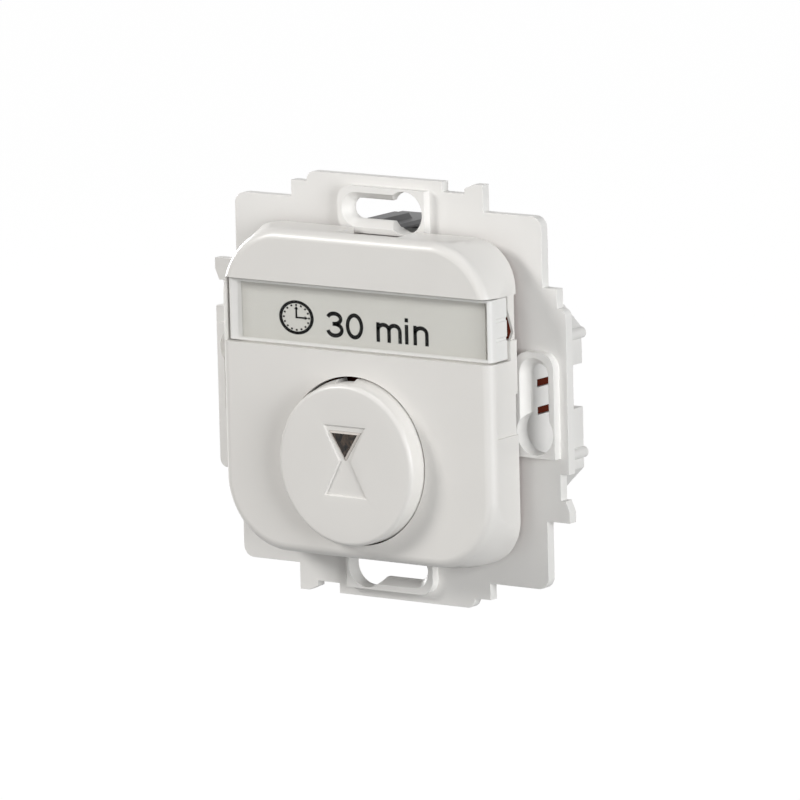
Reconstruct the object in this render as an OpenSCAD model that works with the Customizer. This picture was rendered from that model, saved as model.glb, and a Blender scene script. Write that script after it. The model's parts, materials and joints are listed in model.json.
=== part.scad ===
// Flush-mounted timer light switch: mounting plate, rear housing, front cover with a label window,
// a large sprung push button, and the boards, relay and wire terminals inside.
// The origin is the middle of the plate's rear face, on the wall. X points right, Y into the wall, Z up.

/* [Mounting plate] */
// Distance between opposite main edges of the plate
plate_size = 71; // [69:0.5:75]
// Thickness of the plate
plate_t = 1.8; // [1.4:0.1:2.6]
// Distance between opposite edges of the corner blocks
plate_corner_size = 62; // [60:0.5:64]
// Distance between opposite steps and notches of the edge
plate_step_size = 67.6; // [66.4:0.2:68.4]
// Radius of the plate's corners
plate_corner_r = 2; // [0.6:0.2:4]
// Radius of the main edge's leading corner
plate_edge_r = 1.5; // [0.4:0.1:1.6]
// Place along a side where the step begins
step_from = -19.3; // [-21:0.1:-18.5]
// Place along a side where the main edge begins
main_from = -16.1; // [-17.4:0.1:-14]
// Place along a side where the main edge ends
main_to = 11.4; // [10:0.1:13]
// Place along a side where the notch ends and the tooth begins
tooth_from = 15.8; // [14.6:0.1:16.6]
// Place along a side where the tooth ends
tooth_to = 19.5; // [18.6:0.1:21]
// Drop of the tooth's sloping top
tooth_slope = 0.8; // [0.2:0.1:1.2]
// Width of the plate's inner edge that lies on the housing's rim
plate_lap = 1.1; // [0.8:0.1:1.2]
// Depth of the seat for the housing's rim in the plate's rear face
seat_depth = 0.4; // [0.3:0.05:0.6]
// Gap round the housing's rim in its seat
seat_gap = 0.2; // [0.15:0.05:0.3]

/* [Keyholes] */
// Distance between opposite fixing screws
screw_spacing = 60; // [59:0.25:61]
// Width of a screw slot
slot_w = 3.5; // [3:0.1:4]
// Distance of a slot's end from the middle of its side
slot_reach = 5; // [4:0.1:6]
// Radius of a keyhole's wide end
entry_r = 3.6; // [3.2:0.1:3.7]
// Distance of the wide end from the middle of its side
entry_shift = 4.7; // [4.2:0.1:5.2]
// Width of the sloping edge of a screw slot
slot_edge = 1.15; // [0.5:0.05:1.2]
// Depth of that sloping edge
slot_edge_d = 1.6; // [0.8:0.1:1.8]
// Thickness of the lip behind it
lip_t = 0.9; // [0.6:0.1:1]
// Width of the sloping rear edge of a keyhole's wide end
entry_edge = 0.5; // [0.2:0.1:0.5]
// Length of the raised pad round a keyhole
pad_l = 17.6; // [17.2:0.2:19]
// Height of that pad above the plate
pad_rise = 1.6; // [1:0.1:1.8]
// Distance between the outer edges of opposite pads
pad_size = 67.8; // [67:0.2:68.6]
// Width of a pad
pad_w = 7.8; // [7.2:0.1:8]
// Radius of a pad's rounded end
pad_r = 2.6; // [1:0.1:3.2]

/* [Cover] */
// Width of the cover
cover_w = 54.6; // [54.2:0.1:55.4]
// Height of the cover
cover_h = 54.4; // [54.2:0.1:55]
// Depth of the cover
cover_d = 7.7; // [7.3:0.1:9]
// Thickness of the cover's sides
cover_wall = 1.8; // [1.5:0.1:1.9]
// Thickness of the cover's face
cover_face_t = 1.6; // [1.2:0.1:1.8]
// Radius of the cover's corners
cover_r = 8; // [7.4:0.1:9]
// Radius of the cover's corners at the front, where they are softer
cover_soft_r = 12.5; // [11.5:0.1:13]
// Distance by which the softer corners start outside the sides
cover_soft_lap = 0.05; // [0.03:0.01:0.1]
// Radius of the cover's front edge
cover_edge_r = 1.8; // [0.8:0.1:2.2]
// Gap between the cover's rear edge and the plate
cover_gap = 2.4; // [2.2:0.1:3]
// Length of the screw head relief in the top and bottom sides
relief_l = 12.8; // [8:0.2:14]
// Depth of that relief
relief_depth = 1.1; // [0.4:0.1:1.1]
// Length of the shallow relief in the left and right sides
side_relief_l = 6.8; // [5:0.2:9]
// Depth of the shallow relief
side_relief_depth = 0.4; // [0.2:0.1:0.8]
// Shift of the reliefs from the middle, towards the keyhole's wide end
relief_shift = 1.5; // [0:0.1:2]

/* [Label] */
// Height of the label's middle above the plate's middle
label_z = 13; // [12.6:0.1:13.6]
// Height of the label's channel
label_h = 10.8; // [9:0.1:11]
// Thickness of the label window
window_t = 1.2; // [0.8:0.1:1.4]
// Depth of the window's face below the cover's face
window_drop = 0.9; // [0.5:0.1:1.2]
// Depth of the window, face and legs
window_d = 4.8; // [4:0.1:5]
// Distance of the window's legs below the cover's sides
window_inset = 0.4; // [0.2:0.1:0.5]
// Gap round the label window
window_gap = 0.2; // [0.15:0.05:0.3]
// Radius of the window's outer edges
window_edge_r = 0.9; // [0.4:0.1:1.1]
// Height of the clip tab in the right leg
clip_tab_h = 3.2; // [2:0.1:4]
// Width of the slits beside the clip tab
clip_slit = 0.4; // [0.3:0.05:0.6]
// Thickness of the label card
card_t = 0.3; // [0.2:0.05:0.5]
// Margin round the label card
card_margin = 0.35; // [0.2:0.05:0.8]
// Thickness of the channel's floor and walls
channel_t = 1.2; // [0.8:0.1:1.4]
// Height of the opening behind the right leg, for prising the window off
pry_h = 5.2; // [4:0.1:6]
// Height of that opening's lower edge above the channel's lower edge
pry_lift = 3.3; // [2:0.1:4]
// Width of that opening where it is widest
pry_w = 1.7; // [1:0.05:1.75]
// Height of the widest place above the opening's lower edge
pry_foot = 1.2; // [0.6:0.1:2]
// Thickness of the cover's side at that opening
pry_skin = 0.5; // [0.4:0.05:0.8]
// Thickness of the cover's wall beside the window's left end
left_wall = 0.7; // [0.5:0.05:0.8]
// Gap between that wall and the window
left_gap = 0.3; // [0.2:0.05:0.35]

/* [Button] */
// Radius of the push button
button_r = 13.55; // [13:0.05:13.7]
// Height of the button's axis
button_z = -10.7; // [-11:0.1:-10.4]
// Distance of the button's face in front of the cover
button_proud = 3.4; // [2.4:0.1:4.5]
// Travel of the button
button_travel = 1.5; // [0.8:0.1:1.8]
// Radius of the button's front edge
button_edge_r = 0.8; // [0.4:0.1:1.5]
// Thickness of the button's face
button_face_t = 1.6; // [1.2:0.1:2]
// Thickness of the button's skirt
button_wall = 1.3; // [1:0.1:1.6]
// Gap between the button and its hole, where it is even
button_gap = 0.6; // [0.55:0.05:0.8]
// Sideways shift of the hole
hole_shift_x = -0.35; // [-0.35:0.05:0]
// Upward shift of the hole
hole_shift_z = 0.2; // [0:0.05:0.2]
// Reach of the lugs at the button's rear, beyond its skirt
lug_w = 1.65; // [1.5:0.05:1.9]
// Height of the lugs
lug_h = 10; // [6:0.5:12]
// Thickness of the lugs
lug_t = 1; // [0.8:0.1:1.2]
// Gap between the lugs and the cover's face
lug_gap = 0.3; // [0.2:0.05:0.5]
// Gap between the pressed lugs and the chassis
press_gap = 0.5; // [0.3:0.05:0.8]
// Width of the slot in the top of the button's skirt
skirt_slot_w = 3.8; // [2.2:0.1:4.4]
// Sideways place of that slot's middle
skirt_slot_x = -1.6; // [-2.4:0.1:0]
// Half width of the hourglass mark
hourglass_w = 4.25; // [3:0.05:5]
// Half width of the hourglass mark's waist
waist_w = 1.15; // [0.4:0.05:2]
// Height of each half of the hourglass mark
hourglass_h = 5.9; // [4:0.05:6.4]
// Height of the hourglass mark's waist above the button's axis
hourglass_rise = 0.7; // [0.2:0.05:0.8]
// Depth of the hourglass mark
hourglass_depth = 0.4; // [0.2:0.05:0.6]
// Half width of the clear triangle
lens_w = 3.3; // [2:0.1:3.4]
// Height of the clear triangle
lens_h = 4.9; // [3:0.1:5]
// Drop of the clear triangle's top below the mark's top
lens_drop = 0.9; // [0.8:0.1:1.2]
// Depth of the clear triangle's front below the button's face
lens_sink = 0.1; // [0:0.05:0.4]
// Length of the clear triangle, front to back
lens_l = 3.6; // [3:0.1:4]
// Radius of the button's guide pins
guide_r = 1.5; // [1.2:0.1:1.6]
// Distance of the guide pins from the button's axis
guide_x = 8.5; // [8:0.1:8.8]
// Length of a guide pin behind the button's face
guide_l = 9.1; // [8.5:0.1:9.4]
// Running clearance of a guide pin
guide_clear = 0.05; // [0.03:0.01:0.1]
// Outside radius of a guide collar
collar_r = 2.6; // [2.5:0.1:2.8]
// Height of a guide collar in front of the chassis
collar_h = 2.4; // [2:0.1:2.6]
// Wire diameter of a return spring
spring_wire = 0.4; // [0.3:0.05:0.45]
// Mean radius of a return spring
spring_r = 2.15; // [2.1:0.05:2.2]
// Turns of a return spring
spring_turns = 4; // [3:0.5:4]

/* [Chassis] */
// Gap between the chassis and the cover's sides
chassis_gap = 0.4; // [0.3:0.05:0.5]
// Thickness of the chassis front
chassis_t = 1.2; // [1:0.1:1.6]
// Thickness of the chassis rim
chassis_rim = 1.3; // [1.2:0.1:1.5]
// Thickness of the latch arms
arm_t = 1.1; // [0.8:0.1:1.4]
// Width of the latch arms
arm_w = 2.2; // [1.6:0.1:2.4]
// Height of the upper latch arms
arm_high = 2.1; // [1.5:0.1:3.2]
// Height of the lower latch arms
arm_low = -2.5; // [-3:0.1:-1]
// Depth behind the plate's rear face where a latch begins
latch_from = 4.3; // [2:0.1:4.5]
// Depth behind the plate's rear face where a latch ends
latch_to = 8.4; // [7:0.1:8.4]
// Gap round a latch in its slot
latch_gap = 0.1; // [0.08:0.02:0.2]
// Height of the cover's snap bumps
snap_h = 6; // [4:0.5:8]
// Height of the bumps' middle
snap_z = -16; // [-17:0.5:-14]
// Depth of the bumps into the chassis
snap_depth = 0.25; // [0.15:0.05:0.3]

/* [Rear housing] */
// Width of the housing
housing_w = 50.8; // [50.4:0.2:51.2]
// Height of the housing
housing_h = 50; // [49.8:0.2:50.6]
// Height of the upper end of the housing's straight left and right sides
housing_side_high = 9.65; // [9.5:0.05:11]
// Height of the lower end of those sides
housing_side_low = -14; // [-15:0.1:-13]
// Depth of the housing
housing_d = 17.4; // [17.2:0.1:20]
// Thickness of the housing's sides
housing_wall = 1.3; // [1.2:0.05:1.4]
// Thickness of the housing's floor
floor_t = 1.5; // [1.2:0.1:2.5]
// Length of the housing's board posts
post_l = 6.5; // [6.3:0.1:7]
// Radius of a board post
post_r = 2; // [1.8:0.1:2.4]
// Distance of the board posts from the power board's side edges
post_inset = 4.9; // [4.7:0.1:5.3]
// Upward and downward distance of the board posts from the middle
post_z = 13; // [12.6:0.1:13.2]
// Lower edge of the notch in each side
notch_low = -3.8; // [-4.2:0.1:-3]
// Upper edge of the notch in each side
notch_high = 3.5; // [3:0.1:4.2]
// Depth of that notch
notch_depth = 2.8; // [2:0.1:3]
// Distance behind the plate where the notch begins
notch_from = 10.2; // [10.1:0.1:12]
// Radius of the ribs on the side blocks
side_rib_r = 0.95; // [0.5:0.05:1]
// Height of the lower side ribs
side_rib_low = -11.4; // [-11.8:0.1:-9]
// Height of the upper side ribs
side_rib_high = 8.7; // [7:0.1:8.8]
// Distance behind the plate where the ribs begin
side_rib_from = 6; // [3:0.5:9]

/* [Boards] */
// Thickness of both circuit boards
board_t = 1.6; // [1:0.1:1.8]
// Gap between the control board and the latch arms or the chassis's rim
arm_gap = 0.4; // [0.3:0.05:0.6]
// Height of the chassis bosses that carry the control board
boss_h = 0.6; // [0.4:0.1:1]
// Distance of the control board's screws from the middle, each way
boss_place = 17.5; // [17:0.1:18.5]
// Radius of a chassis boss
boss_r = 2.2; // [1.6:0.1:2.4]
// Gap between the power board and the notches in the housing's sides
power_side_gap = 0.4; // [0.3:0.05:0.8]
// Gap between the power board and the housing's top and bottom
power_end_gap = 0.7; // [0.4:0.05:1.5]
// Gap between the power board and the housing's cut corners
power_corner_gap = 0.9; // [0.6:0.05:1]
// Shank radius of a board screw
screw_r = 0.8; // [0.6:0.05:0.9]
// Head radius of a board screw
screw_head_r = 1.7; // [1.4:0.1:1.8]
// Head height of a board screw
screw_head_h = 1.2; // [0.8:0.1:1.3]
// Length of a board screw's shank
screw_l = 3; // [2.6:0.1:3]
// Gap round a screw in its boss or post
screw_gap = 0.05; // [0.03:0.01:0.1]
// Gap round a screw in its board
screw_board_gap = 0.3; // [0.2:0.05:0.4]
// Size of the push switch
switch_size = 6; // [5:0.1:6.2]
// Height of the push switch
switch_h = 3.6; // [3.2:0.1:3.8]
// Distance of the push switch below the button's axis
switch_drop = 2.8; // [2.6:0.1:3.2]
// Radius of the switch plunger
plunger_r = 1.6; // [1:0.1:1.8]
// Running clearance of the switch plunger
plunger_clear = 0.05; // [0.03:0.01:0.1]
// Gap between the button's stem and the plunger
stem_gap = 0.2; // [0.1:0.05:0.3]
// Length of the button's stem behind its face
stem_l = 2.6; // [2.4:0.1:2.9]
// Radius of the indicator lamp
lamp_r = 1.5; // [1:0.1:1.6]
// Height of the indicator lamp
lamp_h = 4.1; // [3:0.1:4.2]
// Height of the lamp above the button's axis
lamp_rise = 3.3; // [3:0.1:3.6]
// Length of the timer chip
chip_l = 10; // [6:0.5:12]
// Width of the timer chip
chip_w = 6.5; // [4:0.5:8]
// Height of the timer chip
chip_h = 1.6; // [1:0.1:2]
// Pins in the header
header_pins_n = 6; // [3:1:6]
// Pitch of the header's pins
header_pitch = 2.54; // [2:0.01:2.54]
// Size of a header pin
header_pin = 0.64; // [0.5:0.02:0.8]
// Distance of the header from the narrower board's side edge
header_inset = 2.9; // [2.1:0.1:3.3]

/* [Relay] */
// Length of the relay's case
relay_l = 19; // [18.8:0.1:20]
// Width of the relay's case
relay_w = 15; // [13:0.5:15]
// Gap between the relay's case and the control board
relay_gap = 1.4; // [1:0.1:1.6]
// Thickness of the relay's case
relay_wall = 0.7; // [0.5:0.05:0.8]
// Thickness of the relay's base
relay_base_t = 1.2; // [0.8:0.1:1.2]
// Height of the relay's middle
relay_z = -13.5; // [-14:0.1:-13]
// Depth of the coil's winding below its end plates
coil_inset = 0.3; // [0.1:0.05:0.8]
// Radius of the coil's iron core
core_r = 1.5; // [1:0.1:1.6]
// Length of the coil's winding
coil_l = 9; // [8:0.1:9.2]
// Thickness of the coil's end plates
coil_end_t = 0.8; // [0.5:0.1:1]
// Gap between the yoke's ears and the relay's case
ear_gap = 0.3; // [0.2:0.05:0.5]
// Thickness of the yoke and the armature
iron_t = 0.8; // [0.6:0.1:0.9]
// Gap between the armature and the core
armature_gap = 0.8; // [0.75:0.05:0.9]
// Distance between the armature's foot and the relay's base
armature_lift = 0.6; // [0.4:0.1:1]
// Width of the yoke
yoke_w = 7; // [6:0.1:8]
// Thickness of the yoke's ears
ear_t = 1; // [0.8:0.1:1.4]
// Gap between the armature and the yoke
yoke_gap = 0.3; // [0.3:0.05:0.4]
// Radius of the armature's pivot
pivot_r = 0.6; // [0.5:0.05:0.6]
// Running clearance of that pivot
pivot_clear = 0.06; // [0.04:0.01:0.08]
// Wall round the pivot in the ears
pivot_wall = 0.54; // [0.4:0.02:0.56]

/* [Terminals] */
// Radius of a wire entry
wire_r = 1.6; // [1.4:0.05:1.8]
// Length of the wire entry's collar inside the floor
wire_collar_l = 1.5; // [1:0.1:1.6]
// Wall of that collar
wire_collar_wall = 1.2; // [0.8:0.1:1.6]
// Distance of the wire entries from the plate's middle, up and down
wire_z = 15.2; // [15:0.1:15.6]
// Distance of the two neighbouring wire entries from each other
wire_pitch = 8; // [7.8:0.1:8.2]
// Sideways place of a release lever's middle
lever_x = -4.1; // [-4.4:0.1:-4]
// Width of a terminal cage
cage_w = 4.4; // [4:0.1:4.6]
// Thickness of a terminal cage
cage_t = 0.8; // [0.6:0.1:0.9]
// Gap between a cage's rear end and the wire collar
cage_gap = 0.3; // [0.2:0.05:0.5]
// Room for the leaf spring and the wire in a cage
cage_room = 5; // [4.8:0.1:5.4]
// Thickness of a leaf spring
leaf_t = 0.4; // [0.3:0.05:0.5]
// Width of a leaf spring
leaf_w = 5.2; // [5:0.1:5.6]
// Width of a release lever's head
lever_w = 9.4; // [8:0.1:9.6]
// Width of the head's top
lever_top_w = 3; // [2:0.1:4]
// Height of the head's step
lever_step = 0.5; // [0.4:0.05:0.7]
// Height of the head's ridge above that step
lever_ridge = 0.9; // [0.6:0.05:0.95]
// Slope of the step and the ridge, sideways
lever_slope = 0.7; // [0.3:0.1:0.9]
// Thickness of the head's edge
lever_edge = 0.4; // [0.3:0.05:0.5]
// Thickness of the plate behind the head
lever_t = 0.9; // [0.7:0.1:1]
// Travel of a release lever
lever_travel = 1; // [0.6:0.1:1.1]
// Gap between the pressed head and the housing
lever_gap = 0.2; // [0.2:0.05:0.3]
// Distance behind the plate where the head begins
lever_from = 0.6; // [0.5:0.1:2]
// Distance behind the plate where the stepped head ends
lever_head_to = 8.4; // [6:0.1:9]
// Distance behind the plate where the lever ends
lever_to = 14.2; // [14:0.1:15.5]
// Width of the lever's shank
shank_w = 2.8; // [2.4:0.1:2.8]
// Depth of the lever's shank
shank_d = 2; // [1.4:0.1:2.2]
// Running clearance of the shank in the housing
shank_clear = 0.12; // [0.08:0.02:0.2]
// Distance of the shank behind the power board
shank_back = 1.5; // [1.3:0.1:1.6]
// Gap between the shank and the leaf springs
shank_gap = 0.4; // [0.3:0.05:0.6]

/* [Power parts] */
// Length of the film capacitor
film_l = 13; // [10:0.5:13]
// Width of the film capacitor
film_w = 6; // [4:0.5:7]
// Gap between the film capacitor and the timer chip
film_gap = 0.8; // [0.5:0.1:3]
// Radius of the smoothing capacitor
smooth_r = 3.2; // [2.5:0.1:3.4]
// Gap between the smoothing capacitor and the timer chip
smooth_gap = 1.3; // [0.5:0.1:3]
// Radius of the varistor
varistor_r = 3.5; // [2.5:0.1:4]
// Thickness of the varistor
varistor_t = 3.2; // [2.4:0.1:3.4]
// Radius of the fuse
fuse_r = 1.6; // [1.2:0.1:1.7]
// Length of the fuse
fuse_l = 10; // [8:0.5:10]
// Radius of a resistor
resistor_r = 1.1; // [0.8:0.05:1.15]
// Length of a resistor
resistor_l = 6.3; // [4:0.1:7]
// Radius of a diode
diode_r = 0.9; // [0.6:0.05:1]
// Length of a diode
diode_l = 4.2; // [3:0.1:5]

/* [Hidden] */
$fn = 64;

// A cut runs past the face that it opens by this much
cut = 1;
// Solids that are joined run into each other by this much
join = 0.2;

// Depths along Y, from the wall to the front
plate_front = -plate_t;
pad_front = plate_front - pad_rise;
cover_rear = plate_front - cover_gap;
cover_face = cover_rear - cover_d;
cover_in = cover_face + cover_face_t;
window_face = cover_face + window_drop;
window_in = window_face + window_t;
window_rear = window_face + window_d;
card_face = window_in + window_gap / 2;
bed_face = card_face + card_t;
bed_rear = bed_face + channel_t;
end_wall_rear = window_rear + channel_t;
button_face = cover_face - button_proud;
button_in = button_face + button_face_t;
lug_front = cover_in + lug_gap;
lug_rear = lug_front + lug_t;
chassis_front = lug_rear + button_travel + press_gap;
chassis_rear = chassis_front + chassis_t;
collar_front = chassis_front - collar_h;
control_front = chassis_rear + boss_h;
control_rear = control_front + board_t;
housing_floor = housing_d - floor_t;
power_rear = housing_floor - post_l;
power_front = power_rear - board_t;

// Half sizes across the face
plate_half = plate_size / 2;
step_half = plate_step_size / 2;
pad_out = pad_size / 2;
cover_half_w = cover_w / 2;
cover_half_h = cover_h / 2;
cover_in_w = cover_half_w - cover_wall;
cover_in_h = cover_half_h - cover_wall;
chassis_half_w = cover_in_w - chassis_gap;
chassis_half_h = cover_in_h - chassis_gap;
chassis_r = cover_r - cover_wall - chassis_gap;
housing_half_w = housing_w / 2;
housing_half_h = housing_h / 2;
housing_in_w = housing_half_w - housing_wall;
housing_in_h = housing_half_h - housing_wall;
window_half = cover_half_w - window_inset;
leg_in = window_half - window_t;
bed_half = leg_in - 1.5 * window_gap;
left_reach = cover_half_w - left_wall;
window_left = left_reach - left_gap;
soft_x = cover_half_w - cover_soft_r;
soft_z = cover_half_h - cover_soft_r;
soft_rear_r = cover_soft_r + (cover_soft_r - cover_r) * (sqrt(2) - 1);
label_low = label_z - label_h / 2;
arm_out = housing_in_w - 3 * latch_gap;

// The button's hole, lugs, guide pins, switch and lamp
button_hole_r = button_r + button_gap;
lug_r = button_r + lug_w;
hole_x = hole_shift_x;
hole_z = button_z + hole_shift_z;
switch_z = button_z - switch_drop;
lamp_z = button_z + lamp_rise;
waist_z = button_z + hourglass_rise;
plunger_top = button_in + stem_l + stem_gap;
switch_front = control_front - switch_h;
mark_clear = 0.05;

// Sizes of the plate's opening and the boards, from the housing round them
housing_corner = housing_half_w + housing_side_high - housing_wall * sqrt(2);
plate_opening = housing_w - 2 * plate_lap;
plate_opening_cut = plate_opening - housing_corner + join;
control_size = 2 * (min(arm_out - arm_w, chassis_half_h - chassis_rim) - arm_gap);
power_w = 2 * (housing_half_w - notch_depth - housing_wall - power_side_gap);
power_h = 2 * (housing_in_h - power_end_gap);
power_cut = power_w / 2 + power_h / 2 - housing_corner + power_corner_gap * sqrt(2);
post_x = power_w / 2 - post_inset;
header_x = min(control_size, power_w) / 2 - header_inset;

// Heights of the tall parts, from the room between the boards
chip_rear = control_rear + chip_h;
relay_h = power_front - control_rear - relay_gap;
film_h = power_front - chip_rear - film_gap;
smooth_h = power_front - chip_rear - smooth_gap;

// The relay's coil, core end and pivot
ear_r = pivot_r + pivot_clear + pivot_wall;
coil_end = relay_h - relay_wall - relay_base_t - iron_t / 2 - ear_r - ear_gap;
coil_r = coil_end / 2 - coil_inset;
coil_y = power_front - relay_base_t - coil_end / 2;
coil_mid = -1;
core_end = coil_mid + coil_l / 2 + coil_end_t + iron_t / 2;
armature_x = core_end + armature_gap;
pivot_x = armature_x + iron_t / 2;
pivot_y = coil_y - coil_end / 2 - iron_t / 2;

// The wire terminals
cage_rear = housing_floor - wire_collar_l - cage_gap;
strip_under = wire_z + wire_r;
cage_low = strip_under - cage_room;
shank_front = power_rear + shank_back;
shank_low = strip_under - leaf_t + shank_gap;
head_low = housing_half_h + lever_travel + lever_gap;
head_top = head_low + lever_edge + lever_step + lever_ridge;

// The snap bumps, their depths and the room round them in the chassis
snap_gap = 0.2;
snap_t = 1;
snap_rear = cover_rear - 2 * snap_gap;
snap_front = snap_rear - snap_t;

// The cover's posts on the chassis
cover_post_r = 1.8;
cover_post_inset = 4;
post_spot = chassis_half_h - cover_post_inset;

// Small fits inside: springs, switch floor, plunger, screw tips, screw slots, lamp rim, relay and header
spring_end_gap = 0.06;
switch_floor = 0.2;
plunger_room = 0.1;
guide_board_gap = 0.5;
screw_tip_gap = 0.2;
screw_slot_w = 0.5;
lamp_rim_w = 0.3;
lamp_rim_h = 0.8;
relay_fit = 0.1;
header_strip_h = 2.5;
header_pin_gap = 0.03;

// Places of the parts on the boards, across the face
chip_place = [6, 9];
film_place = [-2.5, 12];
smooth_place = [9, 10];
varistor_place = [-12, 9.5];
fuse_inset = 2.7;
fuse_place = [power_w / 2 - fuse_inset, -5];
resistor_xs = [11.4, 14];
resistor_zs = [-7, 1];
diode_xs = [-12.2, -14.6];
diode_zs = [-7, -1];
fuse_cap = 2;
resistor_cap = 1.2;
cap_rise = 0.15;
smooth_groove_r = 0.3;

// A flat outline in X and Z, made solid from the front depth to the rear depth
module slab(front, rear) {
    translate([0, rear, 0])
        rotate([90, 0, 0])
            linear_extrude(rear - front)
                children();
}

// A profile of radius and height turned round an axis along Y, its height measured forwards from y
module turned(x, y, z) {
    translate([x, y, z])
        rotate([90, 0, 0])
            rotate_extrude()
                children();
}

// A box from its lowest to its highest corner
module box(low, high) {
    translate(low)
        cube(high - low);
}

// A rectangle round the middle with round corners
module rounded(w, h, r) {
    square([w - 2 * r, h], center = true);
    square([w, h - 2 * r], center = true);
    for (x = [-1, 1], z = [-1, 1])
        translate([x * (w / 2 - r), z * (h / 2 - r)])
            circle(r);
}

// A rectangle round the middle with its corners cut at 45 degrees
module cut_square(w, h, corner) {
    a = w / 2;
    b = h / 2;
    polygon([[-a, corner - b], [corner - a, -b], [a - corner, -b], [a, corner - b],
        [a, b - corner], [a - corner, b], [corner - a, b], [-a, b - corner]]);
}

// The same shape above and below, turned half a turn about Y
module top_and_bottom() {
    children();
    rotate([0, 180, 0])
        children();
}

// The same shape at the left and the right
module left_and_right() {
    children();
    mirror([1, 0, 0])
        children();
}

// One side of the plate's edge, drawn as the top side
module plate_side() {
    polygon([[step_from, 0], [step_from, step_half], [main_from, step_half],
        [main_from, plate_half - plate_edge_r], [main_from + plate_edge_r, plate_half],
        [main_to, plate_half], [main_to, step_half], [tooth_from, step_half],
        [tooth_from, plate_half - tooth_slope], [(tooth_from + tooth_to) / 2, plate_half],
        [tooth_to, plate_half], [tooth_to, 0]]);
    translate([main_from + plate_edge_r, plate_half - plate_edge_r])
        circle(plate_edge_r);
}

// The outline of one keyhole, in the top side
module keyhole() {
    translate([entry_shift, screw_spacing / 2])
        circle(entry_r);
    translate([-slot_reach, screw_spacing / 2])
        circle(slot_w / 2);
    translate([-slot_reach, screw_spacing / 2 - slot_w / 2])
        square([slot_reach + entry_shift, slot_w]);
}

// The sloping front edge of one screw slot
module slot_slope() {
    z = screw_spacing / 2;
    half = slot_w / 2;
    deep = slot_edge_d + join;
    wide = half + slot_edge * deep / slot_edge_d;
    rear = pad_front + slot_edge_d;
    translate([-slot_reach, rear, z])
        rotate([90, 0, 0])
            cylinder(r1 = half, r2 = wide, h = deep);
    translate([-slot_reach, 0, z])
        rotate([90, 0, 90])
            linear_extrude(slot_reach + entry_shift)
                polygon([[rear, -half], [rear, half], [rear - deep, wide], [rear - deep, -wide]]);
}

// The rear of one keyhole: its slot is wide again behind the lip, and its wide end has a sloping edge
module keyhole_rear() {
    z = screw_spacing / 2;
    wide = slot_w / 2 + slot_edge;
    slab(pad_front + slot_edge_d + lip_t, cut) {
        translate([-slot_reach, z])
            circle(wide);
        translate([-slot_reach, z - wide])
            square([slot_reach + entry_shift, 2 * wide]);
    }
    translate([entry_shift, join, z])
        rotate([90, 0, 0])
            cylinder(r1 = entry_r + entry_edge + join, r2 = entry_r, h = entry_edge + join);
}

// The outline of the raised pad round one keyhole, rounded at the slot's end
module pad() {
    half = pad_l / 2;
    translate([pad_r - half, pad_out - pad_w])
        square([pad_l - pad_r, pad_w]);
    translate([-half, pad_out - pad_w + pad_r])
        square([pad_l, pad_w - 2 * pad_r]);
    for (z = [pad_out - pad_w + pad_r, pad_out - pad_r])
        translate([pad_r - half, z])
            circle(pad_r);
}

// The seat in the plate's rear face: room for the housing's rim and for both release levers
module housing_seat() {
    slab(-seat_depth, cut)
        housing_outline(-seat_gap);
    top_and_bottom()
        box([lever_x - lever_w / 2 - seat_gap, -seat_depth, housing_half_h],
            [lever_x + lever_w / 2 + seat_gap, cut, head_top + 2 * seat_gap]);
}

module mounting_plate() {
    color([0.9, 0.9, 0.88])
        difference() {
            union() {
                slab(plate_front, 0) {
                    rounded(plate_corner_size, plate_corner_size, plate_corner_r);
                    for (side = [0:3])
                        rotate(-90 * side)
                            plate_side();
                }
                for (side = [0:3])
                    rotate([0, 90 * side, 0])
                        slab(pad_front, plate_front + join)
                            pad();
            }
            slab(plate_front - cut, cut)
                cut_square(plate_opening, plate_opening, plate_opening_cut);
            housing_seat();
            for (side = [0:3])
                rotate([0, 90 * side, 0]) {
                    slab(pad_front - cut, cut)
                        keyhole();
                    slot_slope();
                    keyhole_rear();
                }
        }
}

// The outline of the housing, set in by a wall
module housing_outline(wall) {
    lean = wall * tan(22.5);
    a = housing_half_w - wall;
    b = housing_half_h - wall;
    high = housing_side_high - lean;
    low = housing_side_low + lean;
    top = housing_half_w - housing_half_h + housing_side_high - lean;
    bottom = housing_half_w - housing_half_h - housing_side_low - lean;
    polygon([[-a, low], [-bottom, -b], [bottom, -b], [a, low], [a, high], [top, b], [-top, b], [-a, high]]);
}

// Places of the wire entries in the upper half
function wire_xs() = [lever_x - wire_pitch / 2, lever_x + wire_pitch / 2];

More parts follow.
